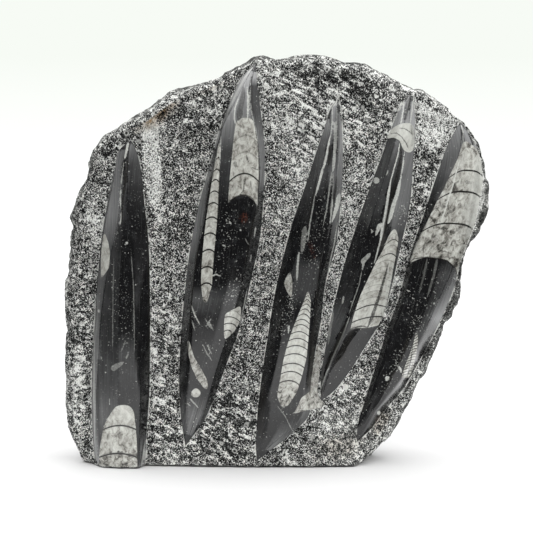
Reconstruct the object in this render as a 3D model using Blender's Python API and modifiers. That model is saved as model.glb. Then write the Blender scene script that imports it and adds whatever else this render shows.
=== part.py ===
"""Orthoceras fossil plate: one free-standing slab of dark fossil limestone.

The front carries five long, tapering ridges that are ground to flat facets. The rest of
the front, the rim and the back are rough, and the foot is sawn flat.
"""
import math

import bpy
import numpy as np
from mathutils import Matrix, Vector, noise

COLLECTION_NAME = "orthoceras_fossil_plate"
CUTTER_COLLECTION_NAME = "cutters"
NODE_NAME = "fossil_plate"

# The plate as it stands: X to the right, Y to the back, Z up, metres.
PLATE_WIDTH = 0.299
FRONT_REACH = 0.027      # middle of the chiselled front, ahead of the origin
BACK_REACH = 0.038       # foot of the back, behind the origin
RIM_ROUNDING = 0.011     # where the faces turn into the rim
FRONT_BOW = 0.014        # how far the sides of the front fall back from its middle
TOP_LEAN = 0.015         # how far the top of the front leans back
LEAN_START = 0.120       # height where the lean begins
BACK_TAPER = 0.020       # how far the back comes forward at the top
BACK_TAPER_POWER = 1.5   # the taper grows more quickly towards the top
BACK_BOW = 0.012
PLATE_HEIGHT = 0.285

# Lumps of the rough surface: size across, height on the front, height on the back.
LUMP_SIZE = 0.030
LUMP_FRONT = 0.0010
LUMP_BACK = 0.0034
KNOB_SIZE = 0.013
KNOB_FRONT = 0.0006
KNOB_BACK = 0.0017
LUMP_OFFSET = Vector((3.1, 7.7, 1.9))      # where in the noise the lumps are taken from
KNOB_OFFSET = Vector((11.3, 2.6, 5.2))
NOISE_STRETCH = 2.0      # the noise mostly stays within half its full height

# Broad breaks behind the rim: the outward direction of each plane and its distance from
# the point BREAK_CENTRE.
BREAK_CENTRE = Vector((0.0, 0.0, 0.140))
BREAKS = [
    (Vector((-0.62, 0.70, 0.35)), 0.104),
    (Vector((0.55, 0.72, 0.42)), 0.108),
    (Vector((0.10, 0.62, 0.78)), 0.113),
    (Vector((0.66, 0.66, -0.36)), 0.103),
    (Vector((-0.78, 0.60, -0.18)), 0.128),
]
BREAK_SHARE = 0.9        # how much of what lies past a break is gone

# The outlines below were read off one picture of the plate, in its pixels. These values
# say where it was taken from, so that a point of it can be put back on the stone.
VIEW_DISTANCE = 1.200
VIEW_ELEVATION = math.radians(7.0)
AIM = Vector((-0.0072, 0.0, 0.1375))
PICTURE_CENTRE = 266.5
OUTLINE_WIDTH_IN_PICTURE = 427.0
FOCAL_IN_PIXELS = VIEW_DISTANCE * OUTLINE_WIDTH_IN_PICTURE / PLATE_WIDTH

FOOT_SPARE = 0.020       # stone below the foot that the flat cut takes away
FOOT_CUTTER_HEIGHT = 0.080
FACET_SIZE = 0.0088      # spacing of the rough surface's points
RIM_STEPS = 3            # extra edges across the rounding of the rim
OUTLINE_STEPS = 4        # edges between two points of the outline
WELD_DISTANCE = 0.0001

STONE_COLOUR = (0.10, 0.10, 0.10, 1.0)
STONE_ROUGHNESS = 0.6

OUTLINE = [
    (97, 463), (79, 452), (69, 430), (65, 412), (66, 385), (66, 352), (68, 322), (67, 288),
    (72, 242), (76, 212), (86, 182), (92, 150), (104, 137), (122, 125), (147, 111),
    (172, 94), (207, 79), (240, 66), (258, 57), (282, 59), (311, 54), (330, 58), (360, 65),
    (394, 79), (426, 93), (443, 106), (465, 124), (480, 147), (486, 178), (491, 192),
    (489, 210), (474, 235), (463, 262), (457, 300), (440, 330), (410, 393), (390, 435),
    (373, 450), (357, 463),
]

# Each ridge has five lines from its upper tip to its lower one: the left border, the edge
# of the left facet, the crest, the edge of the right facet and the right border. The first
# ridge runs off the foot, so its lower tip lies beneath the plate. edge_fall is how far the
# left and the right edge lie below the crest, border_drop how far the two borders lie below
# the chiselled front.
RIDGES = [
    {
        "tips": ((131, 140), (119, 600)),
        "height": 0.0125,
        "edge_fall": (0.0015, 0.0015),
        "border_drop": (0.0, 0.0),
        "left": [(123, 146), (115, 168), (109, 195), (103, 228), (97, 285), (93, 350),
                 (91.5, 400), (93, 440), (97, 475)],
        "left_edge": [(124, 160), (121, 190), (117, 225), (110, 260), (103, 300), (99, 350),
                      (96.5, 400), (98, 440), (101, 475)],
        "crest": [(127, 160), (124, 200), (122, 240), (119, 300), (118, 400), (119, 475)],
        "right_edge": [(129, 150), (128, 180), (127, 205), (131, 240), (134, 300),
                       (135, 345), (138, 380), (139, 420), (138, 475)],
        "right": [(136, 150), (139, 160), (144, 200), (148, 235), (150, 300), (150, 350),
                  (149, 400), (147, 425), (144, 475)],
    },
    {
        "tips": ((256, 62), (185.5, 446)),
        "height": 0.0135,
        "edge_fall": (0.0020, 0.0020),
        "border_drop": (0.0, 0.0),
        "left": [(243, 76), (235, 91), (228, 107), (217, 139), (208, 172), (200, 200),
                 (190, 250), (184, 300), (180, 350), (179.5, 400), (183, 432)],
        "left_edge": [(246, 80), (233, 106), (219, 135), (211, 175), (203, 225), (194, 280),
                      (191, 320), (188.5, 370), (187, 420)],
        "crest": [(249, 88), (247.5, 118), (243, 160), (238, 200), (228, 280), (220, 320),
                  (208, 370), (196, 415)],
        "right_edge": [(253, 75), (250, 100), (255, 128), (259, 170), (257, 200),
                       (248.5, 240), (242, 280), (224.5, 341), (213, 378), (203.5, 410),
                       (192.5, 435)],
        "right": [(257, 82), (260, 105), (265, 155), (264, 185), (259.5, 240), (251, 280),
                  (239, 330), (227, 363), (215, 395), (202, 424), (193, 436)],
    },
    {
        "tips": ((338, 98), (257, 461)),
        "height": 0.0125,
        "edge_fall": (0.0018, 0.0018),
        "border_drop": (0.0, 0.0),
        "left": [(331, 108), (326, 123), (315, 156), (305, 187), (294, 218), (285, 250),
                 (276, 288), (268, 335), (261, 382), (257, 420), (256, 450)],
        "left_edge": [(331, 112), (330, 130), (325, 152), (316, 188), (308, 225), (297, 255),
                      (289, 300), (282, 320), (278, 345), (271, 385), (267, 425)],
        "crest": [(334, 130), (330, 160), (324, 200), (316, 240), (301, 320), (294, 360),
                  (286, 400), (275, 435)],
        "right_edge": [(338, 130), (337, 160), (334, 200), (328, 240), (319, 280),
                       (313, 320), (309, 360), (305, 390), (303, 408), (298, 420),
                       (288, 431), (276, 441), (266, 450)],
        "right": [(342, 130), (343, 160), (340, 210), (335, 250), (326, 280), (321, 320),
                  (314, 360), (311, 385), (311, 404), (308, 417), (298, 428), (284, 440),
                  (271, 450)],
    },
    {
        "tips": ((412, 91), (321, 401)),
        "height": 0.0115,
        "edge_fall": (0.0018, 0.0085),
        "border_drop": (0.0, 0.0),
        "left": [(402, 104), (391, 130), (381, 158), (369, 190), (359, 218), (347, 255),
                 (337, 292), (330, 323), (325, 350), (321, 375)],
        "left_edge": [(404, 110), (394, 145), (385, 175), (375, 208), (363, 250), (350, 300),
                      (337, 340), (325, 375)],
        "crest": [(405, 120), (399, 145), (389, 185), (385, 205), (377, 245), (372, 265),
                  (363, 290), (352, 318), (338, 350), (328, 375)],
        "right_edge": [(408, 130), (404, 155), (400, 180), (394, 205), (390, 235),
                       (386, 270), (380, 300), (369, 318), (350, 343), (343, 355),
                       (334, 366), (323, 388)],
        "right": [(415, 115), (413, 165), (409, 210), (401, 245), (392, 285), (381, 320),
                  (365, 347), (344, 379), (333, 392)],
    },
    {
        "tips": ((460, 122), (357, 442)),
        "height": 0.0140,
        "edge_fall": (0.0065, 0.0020),
        "border_drop": (0.0, 0.014),
        "left": [(449, 142), (438, 172), (424, 214), (410, 255), (399, 297), (387, 330),
                 (377, 362), (365, 400), (357, 430)],
        "left_edge": [(461, 140), (457, 160), (450, 177), (440, 199), (428, 221), (415, 252),
                      (405, 290), (393, 325), (383, 360), (371, 398), (361, 430)],
        "crest": [(466, 150), (462, 180), (455, 210), (447, 240), (437, 275), (425, 310),
                  (412, 340), (385, 395), (370, 420)],
        "right_edge": [(470, 138), (474, 165), (472, 200), (465, 235), (455, 262),
                       (433, 312), (418, 345), (402, 378), (385, 400), (365, 425)],
        "right": [(466, 128), (480, 153), (483, 168), (478, 208), (468, 248), (457, 280),
                  (442, 317), (427, 347), (413, 373), (400, 393), (385, 410), (370, 430)],
    },
]
RIDGE_LINES = ("left", "left_edge", "crest", "right_edge", "right")
RIDGE_SECTIONS = 22
RIDGE_END_POWER = 2.2    # how long a ridge keeps its height before it runs out
RIDGE_END_SOFTNESS = 0.8
RIDGE_ROOT = 0.007       # how deep the ridges' own solids reach under the front
RIDGE_ROOT_SHARE = 0.75  # width of that root as a share of the ridge's width
DEPTH_ROUNDS = 3         # rounds in which a point's depth and its place settle


def clear_scene():
    for old in list(bpy.data.objects):
        bpy.data.objects.remove(old, do_unlink=True)


def make_collection(name):
    collection = bpy.data.collections.new(name)
    bpy.context.scene.collection.children.link(collection)
    return collection


def make_stone_material():
    material = bpy.data.materials.new("dark_limestone")
    material.use_nodes = True
    shader = material.node_tree.nodes["Principled BSDF"]
    shader.inputs["Base Color"].default_value = STONE_COLOUR
    shader.inputs["Roughness"].default_value = STONE_ROUGHNESS
    shader.inputs["Metallic"].default_value = 0.0
    return material


def picture_point(across, down, depth):
    """The place (x, z) at the given depth y that the picture shows at this pixel."""
    forward = Vector((0.0, math.cos(VIEW_ELEVATION), -math.sin(VIEW_ELEVATION)))
    up = Vector((0.0, math.sin(VIEW_ELEVATION), math.cos(VIEW_ELEVATION)))
    eye = AIM - forward * VIEW_DISTANCE
    ray = forward.copy()
    ray.x += (across - PICTURE_CENTRE) / FOCAL_IN_PIXELS
    ray -= up * ((down - PICTURE_CENTRE) / FOCAL_IN_PIXELS)
    place = eye + ray * ((depth - eye.y) / ray.y)
    return place.x, place.z


def front_depth(x, z):
    """Depth y of the chiselled front, without its lumps."""
    bow = FRONT_BOW * (x / (PLATE_WIDTH / 2)) ** 2
    lean = TOP_LEAN * max(0.0, (z - LEAN_START) / (PLATE_HEIGHT - LEAN_START)) ** 2
    return -FRONT_REACH + bow + lean


def back_depth(x, z):
    """Depth y of the rough back, without its lumps."""
    bow = BACK_BOW * (x / (PLATE_WIDTH / 2)) ** 2
    taper = BACK_TAPER * (max(0.0, z) / PLATE_HEIGHT) ** BACK_TAPER_POWER
    return BACK_REACH - bow - taper


def make_slab_blank():
    """The outline as a filled curve, as deep as a unit slab, remeshed to even facets."""
    curve = bpy.data.curves.new("slab_outline", "CURVE")
    curve.dimensions = "2D"
    curve.fill_mode = "BOTH"
    half_depth = (FRONT_REACH + BACK_REACH) / 2
    curve.extrude = half_depth - RIM_ROUNDING
    curve.bevel_depth = RIM_ROUNDING
    curve.bevel_resolution = RIM_STEPS
    curve.offset = -RIM_ROUNDING
    curve.resolution_u = OUTLINE_STEPS
    points = [picture_point(across, down, 0.0) for across, down in OUTLINE]
    left_foot = points[0][0]
    right_foot = points[-1][0]
    points = points + [(right_foot, -FOOT_SPARE), (left_foot, -FOOT_SPARE)]
    spline = curve.splines.new("BEZIER")
    spline.bezier_points.add(len(points) - 1)
    for bezier_point, (x, z) in zip(spline.bezier_points, points):
        bezier_point.co = (x, z, 0.0)
        handle = "AUTO" if z > 0.0 else "VECTOR"
        bezier_point.handle_left_type = handle
        bezier_point.handle_right_type = handle
    spline.use_cyclic_u = True
    outline = bpy.data.objects.new("slab_outline", curve)
    bpy.context.scene.collection.objects.link(outline)
    graph = bpy.context.evaluated_depsgraph_get()
    mesh = bpy.data.meshes.new_from_object(outline.evaluated_get(graph))
    bpy.data.objects.remove(outline)
    mesh.transform(Matrix.Rotation(math.radians(90.0), 4, "X"))
    blank = bpy.data.objects.new("slab_blank", mesh)
    bpy.context.scene.collection.objects.link(blank)
    weld = blank.modifiers.new("weld", "WELD")
    weld.merge_threshold = WELD_DISTANCE
    remesh = blank.modifiers.new("even_facets", "REMESH")
    remesh.mode = "VOXEL"
    remesh.voxel_size = FACET_SIZE
    graph = bpy.context.evaluated_depsgraph_get()
    even = bpy.data.meshes.new_from_object(blank.evaluated_get(graph))
    bpy.data.objects.remove(blank)
    return even, half_depth


def lump_height(place, share_back):
    """Height of the rough surface, from small lumps in front to large ones behind."""
    broad = noise.noise(place / LUMP_SIZE + LUMP_OFFSET)
    fine = noise.noise(place / KNOB_SIZE + KNOB_OFFSET)
    share_large = min(1.0, max(0.0, 2.0 * share_back - 1.0))
    broad_height = LUMP_FRONT + (LUMP_BACK - LUMP_FRONT) * share_large
    fine_height = KNOB_FRONT + (KNOB_BACK - KNOB_FRONT) * share_large
    return NOISE_STRETCH * (broad * broad_height + fine * fine_height)


def break_off(place):
    """Moves a point that lies past one of the broad breaks close to its plane."""
    for direction, distance in BREAKS:
        outward = direction.normalized()
        past = (place - BREAK_CENTRE).dot(outward) - distance
        if past > 0.0:
            place = place - outward * (past * BREAK_SHARE)
    return place


def make_slab():
    """The rough stone without its ridges, from a little below the foot upwards."""
    mesh, half_depth = make_slab_blank()
    normals = [vertex.normal.copy() for vertex in mesh.vertices]
    for vertex, normal in zip(mesh.vertices, normals):
        share_back = (vertex.co.y + half_depth) / (2 * half_depth)
        x, y, z = vertex.co + normal * lump_height(vertex.co, share_back)
        share_back = (y + half_depth) / (2 * half_depth)
        depth = front_depth(x, z) * (1.0 - share_back) + back_depth(x, z) * share_back
        vertex.co = break_off(Vector((x, depth, z)))
    mesh.update()
    return mesh


def ridge_height_share(t):
    """Height of a ridge along its length t, 0 at the upper tip and 1 at the lower one."""
    from_middle = abs(2.0 * t - 1.0)
    return max(0.0, 1.0 - from_middle ** RIDGE_END_POWER) ** RIDGE_END_SOFTNESS


def ridge_line(ridge, name):
    """One line of a ridge as arrays of x, z and height, from the upper tip downwards."""
    upper, lower = ridge["tips"]
    rises = {
        "left": -ridge["border_drop"][0],
        "left_edge": ridge["height"] - ridge["edge_fall"][0],
        "crest": ridge["height"],
        "right_edge": ridge["height"] - ridge["edge_fall"][1],
        "right": -ridge["border_drop"][1],
    }
    xs, zs, heights = [], [], []
    for across, down in [upper, *ridge[name], lower]:
        t = (down - upper[1]) / (lower[1] - upper[1])
        height = rises[name] * ridge_height_share(t)
        depth = -FRONT_REACH - height
        for _ in range(DEPTH_ROUNDS):
            x, z = picture_point(across, down, depth)
            depth = front_depth(x, z) - height
        xs.append(x)
        zs.append(z)
        heights.append(height)
    return np.array(xs), np.array(zs), np.array(heights)


def ridge_section(lines, z):
    """Five points across the ridge at height z, then the two of its root."""
    places = []
    for xs, zs, heights in lines:
        x = float(np.interp(-z, -zs, xs))
        height = float(np.interp(-z, -zs, heights))
        places.append(Vector((x, front_depth(x, z) - height, z)))
    first, last = places[0].x, places[-1].x
    middle = (first + last) / 2
    half_root = (last - first) / 2 * RIDGE_ROOT_SHARE
    deepest = max(place.y for place in places) + RIDGE_ROOT
    for x in (middle + half_root, middle - half_root):
        places.append(Vector((x, deepest, z)))
    return places


def make_ridge(ridge, collection, name):
    """A closed loft through sections across the ridge, which narrows to both tips."""
    lines = [ridge_line(ridge, line_name) for line_name in RIDGE_LINES]
    top = max(zs[0] for _, zs, _ in lines)
    bottom = max(min(zs[-1] for _, zs, _ in lines), -FOOT_SPARE / 2)
    sections = []
    for step in range(1, RIDGE_SECTIONS):
        share = (1.0 - math.cos(math.pi * step / RIDGE_SECTIONS)) / 2
        sections.append(ridge_section(lines, top + (bottom - top) * share))
    points = [point for section in sections for point in section]
    count = len(sections[0])
    faces = []
    for upper in range(len(sections) - 1):
        for side in range(count):
            following = (side + 1) % count
            faces.append((
                upper * count + side,
                (upper + 1) * count + side,
                (upper + 1) * count + following,
                upper * count + following,
            ))
    faces.append(tuple(range(count)))
    faces.append(tuple(reversed(range(len(points) - count, len(points)))))
    mesh = bpy.data.meshes.new(name)
    mesh.from_pydata(points, [], faces)
    mesh.update()
    loft = bpy.data.objects.new(name, mesh)
    collection.objects.link(loft)
    return loft


def mark_as_cutter(guide):
    guide.hide_render = True
    guide.display_type = "WIRE"


def add_boolean(target, other, operation):
    step = target.modifiers.new(f"{operation.lower()}_{other.name}", "BOOLEAN")
    step.operation = operation
    step.solver = "EXACT"
    step.object = other


def make_foot_cutter(collection):
    """A block whose top face is the plane that the foot is sawn along."""
    bpy.ops.mesh.primitive_cube_add(size=1.0)
    block = bpy.context.active_object
    block.name = "foot_saw_cut"
    block.scale = (2.0 * PLATE_WIDTH, PLATE_WIDTH, FOOT_CUTTER_HEIGHT)
    block.location = (0.0, 0.0, -FOOT_CUTTER_HEIGHT / 2.0)
    for holder in list(block.users_collection):
        holder.objects.unlink(block)
    collection.objects.link(block)
    return block


def main():
    clear_scene()
    parts = make_collection(COLLECTION_NAME)
    cutters = make_collection(CUTTER_COLLECTION_NAME)
    plate = bpy.data.objects.new(NODE_NAME, make_slab())
    parts.objects.link(plate)
    plate.data.materials.clear()
    plate.data.materials.append(make_stone_material())
    for number, ridge in enumerate(RIDGES, start=1):
        loft = make_ridge(ridge, cutters, f"ridge_{number}")
        mark_as_cutter(loft)
        add_boolean(plate, loft, "UNION")
    foot = make_foot_cutter(cutters)
    mark_as_cutter(foot)
    add_boolean(plate, foot, "DIFFERENCE")


main()
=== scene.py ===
import math
from functools import partial

import bpy
import numpy as np
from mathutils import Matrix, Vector, kdtree, noise
from mathutils.geometry import delaunay_2d_cdt


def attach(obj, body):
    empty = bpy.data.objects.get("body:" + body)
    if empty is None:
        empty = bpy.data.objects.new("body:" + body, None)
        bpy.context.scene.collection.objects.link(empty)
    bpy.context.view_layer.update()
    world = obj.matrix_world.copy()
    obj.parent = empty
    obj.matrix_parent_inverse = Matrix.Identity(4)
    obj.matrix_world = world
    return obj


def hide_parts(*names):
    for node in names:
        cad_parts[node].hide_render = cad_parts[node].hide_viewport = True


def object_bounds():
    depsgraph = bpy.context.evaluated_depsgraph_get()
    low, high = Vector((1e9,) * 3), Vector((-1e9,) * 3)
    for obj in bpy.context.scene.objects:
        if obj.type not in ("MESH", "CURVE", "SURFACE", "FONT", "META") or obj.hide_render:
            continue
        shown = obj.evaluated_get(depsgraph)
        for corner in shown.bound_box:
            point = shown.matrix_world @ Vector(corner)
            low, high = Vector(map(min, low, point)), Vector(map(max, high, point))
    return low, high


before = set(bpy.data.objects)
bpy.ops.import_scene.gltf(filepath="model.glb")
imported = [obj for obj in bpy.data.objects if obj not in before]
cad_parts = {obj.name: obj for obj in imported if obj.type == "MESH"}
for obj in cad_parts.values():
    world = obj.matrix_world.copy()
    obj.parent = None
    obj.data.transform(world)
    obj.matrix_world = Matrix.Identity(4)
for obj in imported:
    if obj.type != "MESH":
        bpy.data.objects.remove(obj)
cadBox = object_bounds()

mm = 0.001


def say(text):
    print("fossil plate: " + text)


# Where the picture that the outlines were read from was taken, in metres and its own pixels.
view = {
    "distance": 1.200,
    "elevation": math.radians(7.0),
    "aim": (-0.0072, 0.0, 0.1375),
    "centre": 266.5,
    "size": 533,
    "outlineWidth": 427.0,
    "sensor": 36.0,
}

# The slab, in metres: the same sizes as the solid's.
slab = {
    "width": 0.299,
    "height": 0.285,
    "frontReach": 0.027,
    "backReach": 0.038,
    "frontBow": 0.014,
    "topLean": 0.015,
    "leanStart": 0.120,
    "backTaper": 0.020,
    "backBow": 0.012,
    "breakCentre": (0.0, 0.0, 0.140),
    "breakShare": 0.9,
    "breaks": [
        ((-0.62, 0.70, 0.35), 0.104),
        ((0.55, 0.72, 0.42), 0.108),
        ((0.10, 0.62, 0.78), 0.113),
        ((0.66, 0.66, -0.36), 0.103),
        ((-0.78, 0.60, -0.18), 0.128),
    ],
    "lumpSize": 0.030,
    "lumpFront": 0.0010,
    "lumpBack": 0.0034,
    "knobSize": 0.013,
    "knobFront": 0.0006,
    "knobBack": 0.0017,
    "backCalm": 1.0,    # how much plainer than the front its broken stone is
}
focal = view["distance"] * view["outlineWidth"] / slab["width"]    # in pixels
mmPerPixel = view["distance"] / focal / mm
sine, cosine = math.sin(view["elevation"]), math.cos(view["elevation"])
eye = (view["aim"][0], view["aim"][1] - cosine * view["distance"], view["aim"][2] + sine * view["distance"])

# The outline of the stone in pixels, each point with the one where the front turns into the rim.
rimPairs = [
    ((97, 463), (98, 462)), ((79, 452), (87, 451)), ((69, 430), (78, 430)), ((65, 412), (74.5, 412)),
    ((66, 385), (75, 385)), ((66, 352), (75, 352)), ((68, 322), (77, 322)), ((67, 288), (76, 289)),
    ((72, 242), (81, 244)), ((76, 212), (85, 215)), ((86, 182), (94, 187)), ((92, 150), (100, 155)),
    ((104, 137), (110, 145)), ((122, 125), (127, 133)), ((147, 111), (152, 119)), ((172, 94), (176, 102)),
    ((207, 79), (210, 88)), ((240, 66), (242, 73)), ((258, 57), (257, 60)), ((282, 59), (279, 67)),
    ((311, 54), (311, 63)), ((330, 58), (329, 68)), ((360, 65), (357, 75)), ((394, 79), (390, 88)),
    ((426, 93), (420, 101)), ((443, 106), (437, 112)), ((465, 124), (463, 122.5)), ((480, 147),
    (478, 147)), ((486, 178), (484, 177)), ((491, 192), (485, 191)), ((489, 210), (481, 209)),
    ((474, 235), (472, 235)), ((463, 262), (462, 261)), ((457, 300), (452, 299)), ((440, 330),
    (437.5, 329)), ((410, 393), (404, 391)), ((390, 435), (381, 430)), ((373, 450), (366, 444)),
    ((357, 463), (354, 462)),
]

# The ledges and chips of the outline, in pixels, from the foot on the left to the foot on the right.
outlineDetail = [
    (97, 464), (91, 461.5), (85, 459), (79.5, 456), (79, 451), (77, 446), (74, 441), (70, 437), (69, 430),
    (66.5, 422), (65, 416), (64.5, 412), (66.5, 406), (65.3, 400), (65, 393), (66.3, 386), (67, 378),
    (67.4, 372), (65.5, 369), (64, 364.5), (64.7, 359), (66.3, 353), (66.5, 345), (67.6, 336),
    (69.3, 330), (68, 322), (66, 310), (66, 300), (66, 291), (66.7, 281), (67.8, 270), (69, 260),
    (70.5, 250), (71.5, 241), (72.3, 235), (74, 229), (74, 223), (72.4, 218.5), (74.5, 212), (77, 206),
    (78, 200), (78.5, 194), (80.5, 190), (84.5, 184), (87.5, 179), (90.5, 172), (90, 166), (91.5, 160),
    (92, 154), (91.8, 149), (95, 145.5), (97, 140), (102, 137), (107, 133.5), (113, 130.5), (119, 127),
    (123, 123.5), (129, 120), (136, 115.5), (143, 112), (150, 108.5), (157, 104), (164, 98.5), (171, 94),
    (180, 90.5), (187, 88), (193, 86.5), (198, 84), (204, 81), (210, 79), (217, 78), (221, 76.5),
    (225, 74), (231, 71), (237, 68.5), (242, 66), (248, 63.5), (253, 60.5), (258, 57.5), (263, 57.5),
    (268, 59.3), (276, 60), (281, 58.8), (285, 57.5), (291, 58), (296, 56), (303, 54.5), (311, 53.3),
    (317, 55), (324, 57), (331, 58.3), (345, 61), (356, 63), (364, 66), (374, 70.5), (384, 75), (392, 79),
    (399, 81.5), (405, 86), (412, 88.5), (420, 90.5), (427, 93.5), (434, 98), (441, 104), (447, 108.5),
    (455, 115), (463, 121.5), (468, 128), (472, 134), (477, 142), (480.5, 150), (484, 157), (485.7, 162),
    (484.7, 168), (484.6, 173), (486, 178), (489, 186), (491.3, 191), (490, 198), (489.6, 203),
    (490, 208), (486.5, 216), (483, 222), (480.5, 229), (475, 236), (471, 241.5), (469, 248),
    (465.5, 253), (464, 259), (461, 267), (459, 274), (457.5, 281), (459.3, 288), (459, 296), (457, 304),
    (453, 309), (449.5, 316), (444, 322), (441, 330), (438.5, 337), (434.5, 347), (430.5, 353),
    (426, 362), (423, 370), (418.5, 377.5), (413, 387), (409.5, 394), (406.5, 402), (402, 411),
    (397, 421), (392, 430), (388, 436.5), (380, 441), (373, 447.5), (366, 455), (361, 460), (357, 463.3),
]

# Five lines of each ridge from its upper tip to its lower one, in pixels. "falls" is how far its
# left and right edges lie below the crest, "round" how round they are in pixels and "drop" how far
# its right border lies below the front. Those heights are in mm.
ridges = [
    {
        "tips": ((131, 140), (119, 600)), "height": 12.5, "falls": (1.5, 1.5), "round": 2.5,
        "left": [(123, 146), (115, 168), (109, 195), (103, 228), (97, 285), (93, 350), (91.5, 400),
            (93, 440), (97, 475)],
        "leftEdge": [(124, 160), (121, 190), (117, 225), (110, 260), (103, 300), (99, 350), (96.5, 400),
            (98, 440), (101, 475)],
        "crest": [(127, 160), (124, 200), (122, 240), (119, 300), (118, 400), (119, 475)],
        "rightEdge": [(129, 150), (128, 180), (127, 205), (131, 240), (134, 300), (135, 345), (138, 380),
            (139, 420), (138, 475)],
        "right": [(136, 150), (139, 160), (144, 200), (148, 235), (150, 300), (150, 350), (149, 400),
            (147, 425), (144, 475)],
    },
    {
        "tips": ((256, 62), (185.5, 446)), "height": 13.5, "falls": (2.0, 2.0), "round": 2.0,
        "left": [(243, 76), (235, 91), (228, 107), (217, 139), (208, 172), (200, 200), (190, 250),
            (184, 300), (180, 350), (179.5, 400), (183, 432)],
        "leftEdge": [(246, 80), (233, 106), (219, 135), (211, 175), (203, 225), (194, 280), (191, 320),
            (188.5, 370), (187, 420)],
        "crest": [(249, 88), (247.5, 118), (243, 160), (238, 200), (228, 280), (220, 320), (208, 370),
            (196, 415)],
        "rightEdge": [(253, 75), (250, 100), (255, 128), (259, 170), (257, 200), (248.5, 240), (242, 280),
            (224.5, 341), (213, 378), (203.5, 410), (192.5, 435)],
        "right": [(257, 82), (260, 105), (265, 155), (264, 185), (259.5, 240), (251, 280), (239, 330),
            (227, 363), (215, 395), (202, 424), (193, 436)],
    },
    {
        "tips": ((338, 98), (257, 461)), "height": 12.5, "falls": (1.8, 1.8), "round": 2.5,
        "left": [(331, 108), (326, 123), (315, 156), (305, 187), (294, 218), (285, 250), (276, 288),
            (268, 335), (261, 382), (257, 420), (256, 450)],
        "leftEdge": [(331, 112), (330, 130), (325, 152), (316, 188), (308, 225), (297, 255), (289, 300),
            (282, 320), (278, 345), (271, 385), (267, 425)],
        "crest": [(334, 130), (330, 160), (324, 200), (316, 240), (301, 320), (294, 360), (286, 400),
            (275, 435)],
        "rightEdge": [(338, 130), (337, 160), (334, 200), (328, 240), (319, 280), (313, 320), (309, 360),
            (305, 390), (303, 408), (298, 420), (288, 431), (276, 441), (266, 450)],
        "right": [(342, 130), (343, 160), (340, 210), (335, 250), (326, 280), (321, 320), (314, 360),
            (311, 385), (311, 404), (308, 417), (298, 428), (284, 440), (271, 450)],
    },
    {
        "tips": ((412, 91), (321, 401)), "height": 11.5, "falls": (1.8, 8.5), "round": 0.8,
        "left": [(402, 104), (391, 130), (381, 158), (369, 190), (359, 218), (347, 255), (337, 292),
            (330, 323), (325, 350), (321, 375)],
        "leftEdge": [(404, 110), (394, 145), (385, 175), (375, 208), (363, 250), (350, 300), (337, 340),
            (325, 375)],
        "crest": [(405, 120), (399, 145), (389, 185), (385, 205), (377, 245), (372, 265), (363, 290),
            (352, 318), (338, 350), (328, 375)],
        "rightEdge": [(408, 130), (404, 155), (400, 180), (394, 205), (390, 235), (386, 270), (380, 300),
            (369, 318), (350, 343), (343, 355), (334, 366), (323, 388)],
        "right": [(415, 115), (413, 165), (409, 210), (401, 245), (392, 285), (381, 320), (365, 347),
            (344, 379), (333, 392)],
    },
    {
        "tips": ((460, 122), (357, 442)), "height": 14.0, "falls": (6.5, 2.0), "round": 2.0, "drop": 14,
        "left": [(449, 142), (438, 172), (424, 214), (410, 255), (399, 297), (387, 330), (377, 362),
            (365, 400), (357, 430)],
        "leftEdge": [(461, 140), (457, 160), (450, 177), (440, 199), (428, 221), (415, 252), (405, 290),
            (393, 325), (383, 360), (371, 398), (361, 430)],
        "crest": [(466, 150), (462, 180), (455, 210), (447, 240), (437, 275), (425, 310), (412, 340),
            (385, 395), (370, 420)],
        "rightEdge": [(470, 138), (474, 165), (472, 200), (465, 235), (455, 262), (433, 312), (418, 345),
            (402, 378), (385, 400), (365, 425)],
        "right": [(466, 128), (480, 153), (483, 168), (478, 208), (468, 248), (457, 280), (442, 317),
            (427, 347), (413, 373), (400, 393), (385, 410), (370, 430)],
    },
]
lineNames = ("left", "leftEdge", "crest", "rightEdge", "right")

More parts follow.
